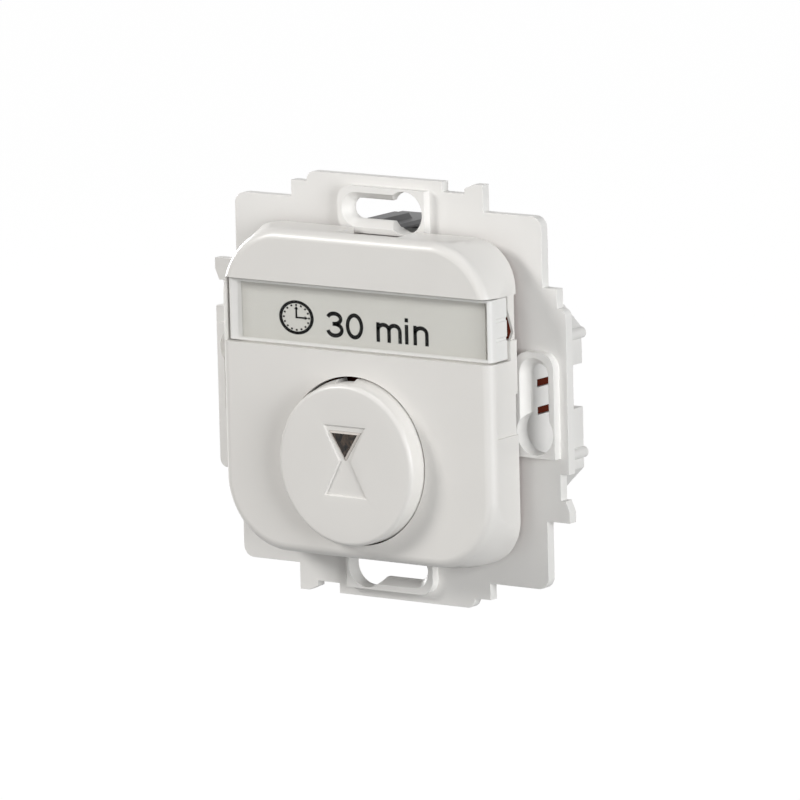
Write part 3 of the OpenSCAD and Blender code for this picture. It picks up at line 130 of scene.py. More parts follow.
class SwitchShape(bpy.types.PropertyGroup):
    """Sizes of the pieces that are made here."""

    edge_round: length("Edge radius", 0.22, "Rounding of the plate's and housing's moulded edges")
    fine_edge_round: length("Fine edge radius", 0.1, "Rounding of small moulded edges")
    cover_edge_round: length("Cover edge radius", 0.25, "Rounding of the cover's sharp edges")
    window_edge_round: length("Window edge radius", 0.3, "Rounding of the label window's edges")
    # The label window's rim and ends, whose widths follow, carry painted light: a pale colour that stands in
    # for the bright refracted edges of the clear window and the lit wall seen through its ends.
    window_rim: length("Window rim", 0.45, "Width of the frosted rim above and below the label")
    window_left: length("Window left", 2.2, "Width of the frosted left end of the label window")
    window_right: length("Window right", 0.7, "Width of the frosted right end of the label window")
    leg_t: length("Window leg", 1.1, "Thickness of the label window's right leg")
    web_t: length("Slit web", 0.95, "Thickness of the web behind the clip tab's slits")
    web_h: length("Slit web height", 4.8, "Height of that web")
    web_l: length("Slit web length", 3.0, "Length of that web along the leg")
    web_back: length("Slit web place", 0.05, "Distance of that web from the leg's rear end")
    button_r: length("Button radius", 13.55, "Radius of the push button")
    button_edge_r: length("Button edge", 0.8, "Radius of the button's front edge")
    button_wall: length("Skirt", 1.3, "Thickness of the button's skirt")
    button_face_t: length("Button face", 1.6, "Thickness of the button's face")
    button_crown: length("Button crown", 0.12, "Rise of the button's face in its middle")
    lug_t: length("Lug thickness", 1.0, "Thickness of the lugs at the button's rear")
    lug_h: length("Lug height", 10.0, "Height of those lugs")
    lug_rear: length("Lug rear", -9.0, "Depth of the lugs' rear faces")
    slot_left: length("Slot left", -3.5, "Left edge of the slot in the top of the button's skirt")
    slot_right: length("Slot right", 0.3, "Right edge of that slot")
    slot_front: length("Slot front", 3.7, "Distance of that slot behind the button's face")
    guide_x: length("Guide pins", 8.5, "Distance of the guide pins from the button's axis")
    guide_r: length("Guide pin radius", 1.5, "Radius of a guide pin")
    guide_round: length("Guide pin end", 0.4, "Rounding of a guide pin's end")
    stem_r: length("Stem radius", 1.6, "Radius of the stem that presses the switch")
    stem_l: length("Stem", 2.6, "Length of the stem behind the button's face")
    stem_drop: length("Stem drop", 2.8, "Distance of the stem below the button's axis")
    stem_round: length("Stem end", 0.2, "Rounding of the stem's end")
    root: length("Root", 0.3, "Depth to which the guide pins and the stem stand in the button's face")
    mark_w: length("Mark half width", 4.25, "Half width of the hourglass mark")
    mark_h: length("Mark half height", 5.9, "Height of each half of the hourglass mark")
    mark_waist: length("Mark waist", 1.15, "Half width of the mark's waist")
    mark_rise: length("Mark rise", 0.7, "Height of the mark's waist above the button's axis")
    mark_depth: length("Mark depth", 0.35, "Depth of the mark")
    mark_slope: length("Mark slope", 0.12, "Width of the mark's sloping walls")
    mark_rim: length("Mark rim", 0.08, "Rounding of the mark's rim")
    skirt_flare: length("Skirt flare", 0.6, "Widest flare of the button's skirt, at its upper left")
    skirt_straight: length("Straight skirt", 2.6, "Distance of the flare behind the button's face")
    slot_skin: length("Slot skin", 0.12, "Thickness of the skirt that is left in its slot")
    lens_tip: length("Lens tip", 0.15, "Half width of the lens's blunt tip")
    lens_chamfer: length("Lens chamfer", 0.38, "Width of the lens's sloping front edge")
    lens_steep: amount("Lens slope", 0.6, "Depth of that edge as a share of its width")
    lens_gap: length("Lens gap", 0.02, "Gap between the lens and its hole")
    lens_bulge: length("Lens bulge", 0.05, "Rise of the lens's middle")
    spring_wire: length("Spring wire", 0.4, "Diameter of the return springs' wire")
    spring_turns: amount("Spring turns", 4, "Turns of a return spring")
    spring_ease: amount("Spring ends", 0.6, "How far a spring's pitch eases off towards its ends")
    spring_give: length("Spring give", 1.1, "Travel of the terminal springs' free ends under a release lever")
    print_t: length("Print", 0.03, "Thickness of the print on the card")
    stroke_w: length("Stroke", 0.68, "Stroke of the printed legend")
    figure_h: length("Figures", 4.36, "Height of the printed figures")
    letter_h: length("Letters", 3.25, "Height of the printed small letters")
    legend_left: length("Legend left", -6.95, "Left end of the printed legend")
    legend_low: length("Legend foot", 9.49, "Height of the legend's foot")
    clock_r: length("Clock", 3.2, "Radius of the printed clock's ring")
    clock_x: length("Clock place", -13.0, "Sideways place of the printed clock")
    clock_z: length("Clock height", 12.27, "Height of the printed clock")
    clock_flat: amount("Clock share", 0.815, "Height of the printed clock's ring as a share of its width")
    clock_ring: length("Clock ring", 0.62, "Stroke of the printed clock's ring")
    clock_mark: length("Clock mark", 0.36, "Stroke of the marks round the printed clock")
    clock_hand: length("Clock hand", 0.34, "Stroke of the printed clock's hands")
    clock_marks: IntProperty(name="Clock marks", description="Marks round the printed clock", default=16)


class SwitchFinish(bpy.types.PropertyGroup):
    """Colours of the pieces that show."""

    plate_white: colour("Plate", (0.83, 0.82, 0.80), "Matt white plastic of the plate and the housing")
    cover_white: colour("Cover", (0.76, 0.745, 0.72), "Polished white plastic of the cover and the button")
    chassis_brown: colour("Chassis", (0.085, 0.013, 0.005), "Brown plastic of the inner chassis")
    lever_grey: colour("Levers", (0.11, 0.11, 0.113), "Grey plastic of the release levers")
    paper: colour("Card", (0.70, 0.685, 0.655), "Paper of the label card")
    ink: colour("Ink", (0.006, 0.006, 0.006), "Ink of the printed legend")
    window_tint: colour("Window", (0.97, 0.975, 0.97), "Clear plastic of the label window")
    # Pale colour of the window's rim and ends: painted light that stands in for their bright refracted edges.
    window_frost: colour("Window rim", (0.79, 0.785, 0.77), "Frosted rim and legs of the label window")
    # The lens's dark blotchy colour is painted shade: it stands in for the unlit lamp seen through a clear
    # lens.
    lens_tint: colour("Lens", (0.05, 0.034, 0.024), "Dark lamp that shows through the button's lens")
    lens_frost: colour("Lens edge", (0.56, 0.52, 0.485), "Frosted sloping edge of the button's lens")


class SwitchStage(bpy.types.PropertyGroup):
    """Camera, floor and studio lights."""

    azimuth: angle("Azimuth", 35.56, "Camera's turn to the right of the front")
    elevation: angle("Elevation", 9.97, "Camera's height above the horizon")
    roll: angle("Roll", -1.39, "Camera's turn about its own line of sight")
    distance: length("Distance", 1545, "Distance of the camera from the plate's front")
    focal: amount("Focal length", 419.9, "Focal length in millimetres on the default sensor")
    shift_x: amount("Shift across", 0.0119, "Shift of the picture across, in picture widths")
    shift_y: amount("Shift up", -0.0135, "Shift of the picture upwards, in picture widths")
    plate_front: length("Plate front", -1.8, "Depth of the plate's front, which the camera looks at")
    near: length("Nearest", 50, "Nearest distance that the camera shows")
    far: length("Farthest", 20000, "Farthest distance that the camera shows")
    floor_drop: length("Floor", 160, "Distance of the floor below the plate's middle")
    floor_size: length("Floor size", 6000, "Side of the square floor")
    floor_shade: amount("Floor shade", 0.12, "Share of the floor's picture that takes the shadow")
    floor_glow: amount("Floor glow", 1.12, "Brightness of the floor where it is seen")
    ambient: amount("Ambient", 0.05, "Strength of the even light from all round")


def square_quads(rows, columns, wrap):
    """Corner numbers of a grid's quads; the last column joins the first where wrap is true."""
    row = np.arange(rows - 1)[:, None]
    column = np.arange(columns if wrap else columns - 1)[None, :]
    after = (column + 1) % columns
    corners = [row * columns + column, row * columns + after,
               (row + 1) * columns + after, (row + 1) * columns + column]
    return np.stack(np.broadcast_arrays(*corners), axis=-1).reshape(-1, 4)


def mesh_of(name, grids):
    """One mesh from grids of points: each is an array of rows by columns by 3, and whether it wraps round.

    Points that meet are merged, quads that shrank to nothing are removed and all faces turned outwards.
    """
    points = np.concatenate([grid.reshape(-1, 3) for grid, wrap in grids])
    starts = np.cumsum([0] + [grid.shape[0] * grid.shape[1] for grid, wrap in grids])
    quads = [square_quads(grid.shape[0], grid.shape[1], wrap) + start
             for (grid, wrap), start in zip(grids, starts)]
    mesh = bpy.data.meshes.new(name)
    mesh.from_pydata(points.tolist(), [], np.concatenate(quads).tolist())
    shape = bmesh.new()
    shape.from_mesh(mesh)
    bmesh.ops.remove_doubles(shape, verts=shape.verts, dist=MERGE)
    bmesh.ops.dissolve_degenerate(shape, edges=shape.edges, dist=MERGE)
    bmesh.ops.recalc_face_normals(shape, faces=shape.faces)
    shape.to_mesh(mesh)
    shape.free()
    return mesh


def placed(name, data):
    """A new object in the scene for a mesh, a light or a camera."""
    made = bpy.data.objects.new(name, data)
    bpy.context.scene.collection.objects.link(made)
    return made


def per_face(mesh, quantity):
    """A vector of every face, such as its center or normal: three rows, one column for each face."""
    values = np.empty(3 * len(mesh.polygons))
    mesh.polygons.foreach_get(quantity, values)
    return values.reshape(-1, 3).T


def piece(name, mesh, node, material, replaces=True, sharp=SHARP):
    """An object for a mesh, riding on a CAD node's body, with its material and its smooth shading."""
    mesh.polygons.foreach_set("use_smooth", np.ones(len(mesh.polygons), dtype=bool))
    mesh.set_sharp_from_angle(angle=sharp)
    mesh.materials.clear()
    mesh.materials.append(material)
    made = placed(name, mesh)
    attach(made, BODY_OF[node])
    if replaces:
        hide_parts(node)
    return made


def merged_copy(name, node):
    """A copy of a CAD node's mesh with its triangles merged and its flat faces joined."""
    mesh = bpy.data.meshes.new(name)
    shape = bmesh.new()
    shape.from_mesh(frame["nodes"][node].data)
    bmesh.ops.remove_doubles(shape, verts=shape.verts, dist=MERGE)
    bmesh.ops.dissolve_limit(shape, angle_limit=FLAT, verts=shape.verts, edges=shape.edges)
    shape.to_mesh(mesh)
    shape.free()
    return mesh


def moulded_copy(node, edge, material, segments=3):
    """A merged copy of a CAD node with its sharp edges rounded."""
    made = piece(node + "_moulded", merged_copy(node + "_moulded", node), node, material)
    rounding = made.modifiers.new("edges", "BEVEL")
    rounding.limit_method = "ANGLE"
    rounding.angle_limit = SHARP
    rounding.width = edge
    rounding.segments = segments
    rounding.miter_outer = "MITER_ARC"
    shading = made.modifiers.new("shading", "WEIGHTED_NORMAL")
    shading.keep_sharp = True
    return made


def circle_grid(x, z, radii, depths, angles):
    """A shape turned about a line along Y: each row is a circle with its radius at its depth.

    Each point has its angle. Radii, depths and angles are arrays that stretch to rows by columns.
    """
    radii, depths, angles = np.broadcast_arrays(radii, depths, angles)
    return np.stack([x + radii * np.cos(angles), depths, z + radii * np.sin(angles)], axis=-1)


def rod(x, z, radius, front, rear, rounding, around=32, rows=6):
    """A round rod along Y whose rear end is rounded: a quarter circle of the rounding joins side and end."""
    bend = np.linspace(0, TURN / 4, rows)
    radii = np.concatenate([[0, radius], radius - rounding + rounding * np.cos(bend), [0]])
    depths = np.concatenate([[front, front], rear - rounding + rounding * np.sin(bend), [rear]])
    angles = np.arange(around) * TURN / around
    return circle_grid(x, z, radii[:, None], depths[:, None], angles[None, :]), True


def offset_corners(corners, distance):
    """A closed outline's corners after each side has moved outwards by the distance, sides in a left turn."""
    corners = np.asarray(corners, float)
    along = np.roll(corners, -1, axis=0) - corners
    along /= np.linalg.norm(along, axis=1)[:, None]
    before = np.roll(along, 1, axis=0)
    out = np.column_stack([along[:, 1], -along[:, 0]])
    out_before = np.roll(out, 1, axis=0)
    bend = before[:, 0] * along[:, 1] - before[:, 1] * along[:, 0]
    slide = distance * (1 - np.sum(out * out_before, axis=1)) / bend
    return corners + distance * out_before + slide[:, None] * before


def outline(corners, counts):
    """Points round a closed outline: side k, from corner k to the next, is cut into counts[k] equal steps."""
    corners = np.asarray(corners, float)
    ends = np.roll(corners, -1, axis=0)
    sides = [a + (b - a) * (np.arange(n) / n)[:, None] for a, b, n in zip(corners, ends, counts)]
    return np.concatenate(sides)


def at_depth(points, depth):
    """Points of an outline in X and Z, set at a depth."""
    return np.stack([points[..., 0], np.broadcast_to(depth, points.shape[:-1]), points[..., 1]], axis=-1)


def ruled(first, last, rows):
    """A ruled sheet between two rows of points: each row is a straight blend from the first to the last."""
    share = np.linspace(0, 1, rows)[:, None, None]
    return first[None] * (1 - share) + last[None] * share


def mark_corners(shape, axis_z):
    """Corners of the hourglass, in a left turn from its top right, with its waist's two ends."""
    middle = axis_z + shape.mark_rise
    top, bottom = middle + shape.mark_h, middle - shape.mark_h
    return [[shape.mark_w, top], [-shape.mark_w, top], [-shape.mark_waist, middle],
            [-shape.mark_w, bottom], [shape.mark_w, bottom], [shape.mark_waist, middle]]


def lens_corners(shape):
    """Corners of the lens, turning left: top right, top left, and the two ends of its blunt tip."""
    low, high = span("button_lens")
    return [[high[0], high[2]], [low[0], high[2]], [-shape.lens_tip, low[2]], [shape.lens_tip, low[2]]]


def ray_angles(points, start, centre, radius):
    """Angles on a circle where rays from a start through the points meet it."""
    way = points - start
    way /= np.linalg.norm(way, axis=1)[:, None]
    to_start = start - centre
    half = np.sum(way * to_start, axis=1)
    reach = -half + np.sqrt(half ** 2 + radius ** 2 - np.sum(to_start ** 2))
    hit = to_start + way * reach[:, None]
    return np.unwrap(np.arctan2(hit[:, 1], hit[:, 0]))


def snapped(angles, edges):
    """Rising angles, stretched a little so that two neighbours stand close to either side of each edge."""
    after = np.searchsorted(angles, edges)
    known = np.column_stack([angles[after - 1], angles[after]]).ravel()
    wanted = np.column_stack([edges - CLOSE, edges + CLOSE]).ravel()
    ends = angles[[0, -1]]
    return np.interp(angles, np.concatenate([ends[:1], known, ends[1:]]),
                     np.concatenate([ends[:1], wanted, ends[1:]]))


def button_sides(shape, axis_z, front_angles, rear_angles):
    """The button's round edge, outside, lugs and inside as one turned sheet.

    Row by row a circle at a depth. Its radius follows a quarter circle at the edge, then the skirt, which
    flares towards its upper left. Within the slot's angles the skirt is thin, and at the lugs it grows to the
    lugs' round ends and level sides. On the inside the angles drift from the front's to the rear's.
    """
    low, high = span("push_button")
    skirt_in = shape.button_r - shape.button_wall
    edge = np.linspace(0, TURN / 4, EDGE_ROWS)
    slot_edges = np.arccos(np.array([shape.slot_right, shape.slot_left]) / shape.button_r)
    angles = snapped(front_angles, slot_edges)
    in_slot = (angles > slot_edges[0]) & (angles < slot_edges[1])
    wide = shape.button_r + shape.skirt_flare * (1 + np.cos(angles - FLARE_WAY)) / 2
    skirt = np.where(in_slot, skirt_in + shape.slot_skin, wide)
    reach = shape.lug_h / 2 / np.maximum(np.abs(np.sin(angles)), MERGE)
    lug = np.where(in_slot, skirt, np.clip(reach, wide, high[0]))
    full, thin = np.full_like(angles, shape.button_r), np.full_like(angles, skirt_in)

    lug_front, slot_front = shape.lug_rear - shape.lug_t, low[1] + shape.slot_front
    inner = low[1] + shape.button_face_t
    drift = np.linspace(0, 1, INSIDE_ROWS)[1:, None]
    outside = [full, np.where(in_slot, full, wide), skirt, skirt, lug, lug, thin]
    radii = np.concatenate([
        np.repeat(shape.button_r - shape.button_edge_r * (1 - np.sin(edge))[:, None], len(angles), axis=1),
        outside, np.repeat(thin[None], len(drift), axis=0)])
    depths = np.concatenate([
        low[1] + shape.button_edge_r * (1 - np.cos(edge)),
        [low[1] + shape.skirt_straight, slot_front, slot_front, lug_front, lug_front, shape.lug_rear,
         shape.lug_rear],
        np.linspace(shape.lug_rear, inner, INSIDE_ROWS)[1:]])
    turns = np.concatenate([np.repeat(front_angles[None], len(edge), axis=0),
                            np.repeat(angles[None], len(outside), axis=0),
                            angles * (1 - drift) + rear_angles * drift])
    return circle_grid(0, axis_z, radii, depths[:, None], turns)


def button_grids(shape):
    """Sheets of the push button.

    Its face is ruled from the rounded rim of the mark to the round edge, and bulges slightly. The mark's
    walls slope from that rim to its floor. The floor is ruled in two halves, and the inner face from the
    skirt to the lens's hole.
    """
    low, high = span("push_button")
    axis_z = (low[2] + high[2]) / 2
    centre = np.array([0, axis_z])
    face = low[1]
    inner = face + shape.button_face_t
    floor = face + shape.mark_depth
    # Steps on the mark's top side, on a slant of its upper and of its lower half, and on its base
    top, slant, foot, base = 30, 24, 20, 24
    counts = [top, slant, foot, base, foot, slant]
    lens_counts = [top, slant, 2 * foot + base, slant]

    rim = shape.mark_rim
    corners = mark_corners(shape, axis_z)
    bend = np.linspace(0, TURN / 6, RIM_ROWS)
    rim_rows = [at_depth(outline(offset_corners(corners, rim * (1 - math.sin(b))), counts),
                         face + rim * (1 - math.cos(b))) for b in bend]
    floor_row = at_depth(outline(offset_corners(corners, -shape.mark_slope), counts), floor)
    mark_wall = np.stack(rim_rows + [floor_row])

    mark_rim = outline(offset_corners(corners, rim), counts) - centre
    front_angles = np.unwrap(np.arctan2(mark_rim[:, 1], mark_rim[:, 0]))
    lens = outline(lens_corners(shape), lens_counts)
    rear_angles = ray_angles(lens, lens.mean(axis=0), centre, shape.button_r - shape.button_wall)
    rear_angles += TURN * np.round((front_angles[0] - rear_angles[0]) / TURN)
    sides = button_sides(shape, axis_z, front_angles, rear_angles)

    front = ruled(mark_wall[0], sides[0], FACE_ROWS)
    reach = np.linalg.norm(front[..., [0, 2]] - centre, axis=-1) / (shape.button_r - shape.button_edge_r)
    front[..., 1] -= shape.button_crown * (1 - reach ** 2) * np.linspace(0, 1, FACE_ROWS)[:, None]

    lens_rear = at_depth(lens, inner)
    lens_front = at_depth(lens, floor)
    inner_face = ruled(sides[-1], lens_rear, rows=5)
    lens_wall = ruled(lens_rear, lens_front, rows=3)

    closed = np.concatenate([floor_row, floor_row[:1]])
    waist = ruled(closed[top + slant], closed[-1 - slant], 2 * foot + base + 1)[:, 0]
    upper_ring = np.concatenate([floor_row[:top + slant], waist[:-1], floor_row[-slant:]])
    upper_floor = ruled(upper_ring, lens_front, rows=4)
    lower_floor = ruled(waist, closed[top + slant:len(closed) - slant], rows=5)
    return [(front, True), (mark_wall, True), (sides, True), (inner_face, True), (lens_wall, True),
            (upper_floor, True), (lower_floor, False)]


def lens_grid(shape):
    """The lens as rows of its outline from rear to front: a sloping edge, then a slightly raised middle."""
    low, high = span("button_lens")
    corners = lens_corners(shape)
    side, tip = 24, 4
    counts = [side, side, tip, side]
    slope, gap = shape.lens_chamfer, shape.lens_gap
    # Each row: outward shift of the outline, and depth
    rows = [(-slope, high[1]), (-gap, high[1] - slope), (-gap, low[1] + shape.lens_steep * slope),
            (-slope, low[1])]
    rings = [at_depth(outline(offset_corners(corners, shift), counts), depth) for shift, depth in rows]
    middle = np.mean(outline(offset_corners(corners, -slope), counts), axis=0)
    point = np.repeat(middle[None], len(rings[0]), axis=0)
    rear, front = at_depth(point, high[1]), at_depth(point, low[1] - shape.lens_bulge)
    return np.stack([rear] + rings + [front]), True


def spring_grid(node, shape):
    """A coil along Y: circles of the wire carried along a helix, with the end turns closed up flat."""
    low, high = span(node)
    wire_r = shape.spring_wire / 2
    coil_r = (high[0] - low[0]) / 2 - wire_r
    middle = (low + high) / 2
    share = np.linspace(0, 1, COIL_POINTS)
    turn = share * TURN * shape.spring_turns
    # The pitch eases to nothing at both ends
    rise = share - np.sin(2 * TURN * share) / (2 * TURN) * shape.spring_ease
    depth = low[1] + wire_r + (high[1] - low[1] - 2 * wire_r) * rise
    path = np.stack([middle[0] + coil_r * np.cos(turn), depth, middle[2] + coil_r * np.sin(turn)], axis=-1)
    ahead = np.gradient(path, axis=0)
    ahead /= np.linalg.norm(ahead, axis=1)[:, None]
    outward = np.stack([np.cos(turn), np.zeros_like(turn), np.sin(turn)], axis=-1)
    across = np.cross(ahead, outward)
    around = np.arange(WIRE_POINTS) * TURN / WIRE_POINTS
    ring = outward[:, None] * np.cos(around)[None, :, None] + across[:, None] * np.sin(around)[None, :, None]
    tube = path[:, None] + wire_r * ring
    ends = [np.repeat(path[k][None, None], len(around), axis=1) for k in (0, -1)]
    return np.concatenate([ends[0], tube, ends[1]]), True


def card_grid():
    """The label card: a thin rounded section across its height, carried along its width, ends closed."""
    low, high = span("label_card")
    half = (high[1] - low[1]) / 2
    bend = np.linspace(-TURN / 4, TURN / 4, CARD_BEND_POINTS)
    high_side = np.column_stack([high[2] - half + half * np.cos(bend), half * np.sin(bend)])
    low_side = np.column_stack([low[2] + half - half * np.cos(bend), -half * np.sin(bend)])
    section = np.concatenate([high_side, low_side])
    stations = np.linspace(low[0], high[0], CARD_POINTS)
    middle = (low[1] + high[1]) / 2
    grid = np.empty((len(stations), len(section), 3))
    grid[..., 0] = stations[:, None]
    grid[..., 1] = middle + section[None, :, 1]
    grid[..., 2] = section[None, :, 0]
    ends = [np.broadcast_to(grid[k].mean(axis=0), (1, len(section), 3)) for k in (0, -1)]
    return np.concatenate([ends[0], grid, ends[1]]), True


def arc(centre, radii, start, stop, count=28):
    """Points on an ellipse: the centre plus each radius times the cosine and the sine of the angle."""
    turn = np.radians(np.linspace(start, stop, count))
    return np.column_stack([centre[0] + radii[0] * np.cos(turn), centre[1] + radii[1] * np.sin(turn)])


def stroke_grids(path, width, front, rear, closed=False):
    """A printed stroke: the path moved half the width to each side, as a thin strip between two depths.

    The width is one number, or one for each point.
    """
    path = np.asarray(path, float)
    ahead = np.roll(path, -1, axis=0) - np.roll(path, 1, axis=0) if closed else np.gradient(path, axis=0)
    ahead /= np.linalg.norm(ahead, axis=1)[:, None]
    side = np.column_stack([-ahead[:, 1], ahead[:, 0]]) * np.reshape(width, (-1, 1)) / 2
    strip = np.stack([at_depth(path + side, front), at_depth(path - side, front),
                      at_depth(path - side, rear), at_depth(path + side, rear)], axis=1)
    if closed:
        return [(np.concatenate([strip, strip[:1]]), True)]
    caps = [(strip[k][[0, 1, 3, 2]].reshape(2, 2, 3), False) for k in (0, -1)]
    return [(strip, True)] + caps


def legend_paths(shape):
    """Middle lines of the legend: a three and a nought, then small letters from stems and round arches."""
    half = shape.stroke_w / 2
    left, low = shape.legend_left, shape.legend_low
    high = low + shape.figure_h - half
    foot = low + half
    # Width and pitch of the figures, narrowing of the three's upper bow and length of its middle spur
    figure_w, pitch, narrow, spur = 3.5 * MM, 4.0 * MM, 0.1 * MM, 0.45 * MM
    waist_share = 0.53
    waist = foot + (high - foot) * waist_share
    upper, lower = (high - waist) / 2, (waist - foot) / 2
    three_x = left + figure_w / 2
    bow = figure_w / 2 - half
    three = [arc((three_x - narrow, high - upper), (bow - narrow, upper), start=165, stop=-90),
             np.concatenate([[[three_x - spur, waist]],
                             arc((three_x, foot + lower), (bow, lower), start=90, stop=-172)])]
    nought_x = three_x + pitch
    nought = arc((nought_x, (foot + high) / 2), (bow, (high - foot) / 2), start=0, stop=360, count=57)[:-1]

    letters = []
    shoulder = low + shape.letter_h - half
    arch_r = 0.95 * MM

    def stem(x, top):
        """An upright stroke from the foot."""
        letters.append([[x, low], [x, top]])

    def arch(start, stop):
        """A round arch from one upright to the next, down to the foot."""
        middle = (start + stop) / 2
        top = arc((middle, shoulder - arch_r), ((stop - start) / 2, arch_r), start=180, stop=0)
        letters.append(np.concatenate([top, [[stop, low]]]))

    m_left, i_x, n_left = left + 10.5 * MM, left + 16.25 * MM, left + 17.95 * MM
    arch_w, n_w = 2.2 * MM, 2.35 * MM
    stem(m_left, low + shape.letter_h)
    arch(m_left, m_left + arch_w)
    arch(m_left + arch_w, m_left + 2 * arch_w)
    stem(i_x, low + shape.letter_h)
    letters.append([[i_x, low + shape.figure_h - shape.stroke_w], [i_x, low + shape.figure_h]])
    stem(n_left, low + shape.letter_h)
    arch(n_left, n_left + n_w)
    return three + letters, nought


def legend_grids(shape, front, rear):
    """All strokes of the printed legend."""
    paths, nought = legend_paths(shape)
    grids = stroke_grids(nought, shape.stroke_w, front, rear, closed=True)
    for path in paths:
        grids += stroke_grids(path, shape.stroke_w, front, rear)
    return grids


def clock_grids(shape, front, rear):
    """The printed clock: a ring, short marks inside it at equal angles, and two hands with pointed ends.

    It is drawn round, and its heights are then scaled to the flatter ring of the print.
    """
    middle = np.array([shape.clock_x, shape.clock_z])
    reach, hand_w, point_w = shape.clock_r, shape.clock_hand, np.array([0.8, 0.1]) * MM
    # Shares of the ring's radius at the ends of a mark, of a hand and of its point
    mark_ends, hand_end, point_ends = (0.745, 0.855), 0.55, (0.53, 0.71)
    ring = arc(middle, (reach, reach), start=0, stop=360, count=73)[:-1]
    grids = stroke_grids(ring, shape.clock_ring, front, rear, closed=True)
    for turn in np.arange(shape.clock_marks) * TURN / shape.clock_marks:
        way = np.array([math.cos(turn), math.sin(turn)])
        ends = [middle + way * reach * share for share in mark_ends]
        grids += stroke_grids(ends, shape.clock_mark, front, rear)
    for way in np.eye(2):
        hand = [middle - way * hand_w / 2, middle + way * reach * hand_end]
        grids += stroke_grids(hand, hand_w, front, rear)
        grids += stroke_grids([middle + way * reach * share for share in point_ends], point_w, front, rear)
    squeeze = np.array([1, 1, shape.clock_flat])
    base = np.array([0, 0, shape.clock_z * (1 - shape.clock_flat)])
    return [(grid * squeeze + base, wrap) for grid, wrap in grids]


def add_node(tree, kind, sockets=None, **settings):
    """A shader node with its settings; each socket named in sockets gets a value, or a link from a socket."""
    node = tree.nodes.new(kind)
    for name, value in settings.items():
        setattr(node, name, value)
    for key, value in (sockets or {}).items():
        if isinstance(value, bpy.types.NodeSocket):
            tree.links.new(value, node.inputs[key])
        else:
            node.inputs[key].default_value = value
    return node


def combine(tree, operation, *values):
    """The result of a math operation on numbers or sockets."""
    return add_node(tree, "ShaderNodeMath", dict(enumerate(values)), operation=operation).outputs[0]


def show_mix(tree, output, share, first, second):
    """Sends a mix of two shaders to the output; the share is that of the second."""
    mixed = add_node(tree, "ShaderNodeMixShader", {0: share, 1: first.outputs[0], 2: second.outputs[0]})
    tree.links.new(mixed.outputs[0], output.inputs["Surface"])


COLOUR, VALUE = "NodeSocketColor", "NodeSocketFloat"
EFFECT_SOCKETS = {
    "INPUT": {"Colour": COLOUR, "Roughness": VALUE, "Mottle": VALUE, "Grain": VALUE},
    "OUTPUT": {"Colour": COLOUR, "Roughness": VALUE, "Height": VALUE},
}


def effect_group(name):
    """A new shader node group with an effect's sockets, what it is given, and the place on the object."""
    group = bpy.data.node_groups.new(name, "ShaderNodeTree")
    for way, sockets in EFFECT_SOCKETS.items():
        for socket, kind in sockets.items():
            group.interface.new_socket(socket, in_out=way, socket_type=kind)
    given = group.nodes.new("NodeGroupInput").outputs
    return group, given, add_node(group, "ShaderNodeTexCoord").outputs["Object"]


def noise(group, place, scale, detail, stretch=(1, 1, 1), distortion=0.0):
    """A noise pattern, drawn out along an axis where its stretch is below one."""
    stretched = add_node(group, "ShaderNodeMapping", {"Vector": place, "Scale": stretch}).outputs[0]
    return add_node(group, "ShaderNodeTexNoise", {"Vector": stretched, "Scale": scale, "Detail": detail,
                                                  "Distortion": distortion}).outputs[0]


def shaded(group, given, pattern, spread, height):
    """Ends an effect: colour scaled and roughness moved by a pattern round one half."""
    swing = combine(group, "SUBTRACT", pattern, 0.5)
    scale = combine(group, "MULTIPLY_ADD", swing, given["Mottle"], 1.0)
    tint = add_node(group, "ShaderNodeVectorMath", {0: given["Colour"], "Scale": scale}, operation="SCALE")
    gloss = combine(group, "MULTIPLY_ADD", swing, spread, given["Roughness"])
    add_node(group, "NodeGroupOutput", {"Colour": tint.outputs[0], "Roughness": gloss, "Height": height})
    return group


def moulded_grain():
    """Moulded plastic: faint broad clouds in colour and gloss, and a fine pitted grain as height."""
    group, given, place = effect_group("moulded_grain")
    clouds = noise(group, place, scale=90.0, detail=4.0)
    grain = noise(group, place, scale=given["Grain"], detail=2.0)
    return shaded(group, given, clouds, spread=0.12, height=grain)


def drawn_metal():
    """Rolled or drawn metal: long fine streaks along X in colour, gloss and height."""
    group, given, place = effect_group("drawn_metal")
    streaks = noise(group, place, scale=given["Grain"], detail=3.0, stretch=(0.05, 1, 1))
    return shaded(group, given, streaks, spread=0.3, height=streaks)


def woven_board():
    """Circuit board: the weave of its glass cloth, two sets of waves across each other, under the lacquer."""
    group, given, place = effect_group("woven_board")
    waves = [add_node(group, "ShaderNodeTexWave", {"Vector": place, "Scale": given["Grain"]},
                      bands_direction=way).outputs["Fac"] for way in ("X", "Z")]
    weave = combine(group, "MAXIMUM", *waves)
    return shaded(group, given, weave, spread=0.1, height=weave)


def streaked_lamp():
    """Painted shade of an unlit lamp seen through a lens: dark and light blotches, a little taller than wide,
    and a faint ripple.
    """
    group, given, place = effect_group("streaked_lamp")
    blotches = noise(group, place, scale=given["Grain"], detail=3.0, stretch=(1, 1, 0.7), distortion=1.5)
    return shaded(group, given, blotches, spread=0.1, height=blotches)


def effect(maker):
    """The node group of an effect, built once."""
    return bpy.data.node_groups.get(maker.__name__) or maker()


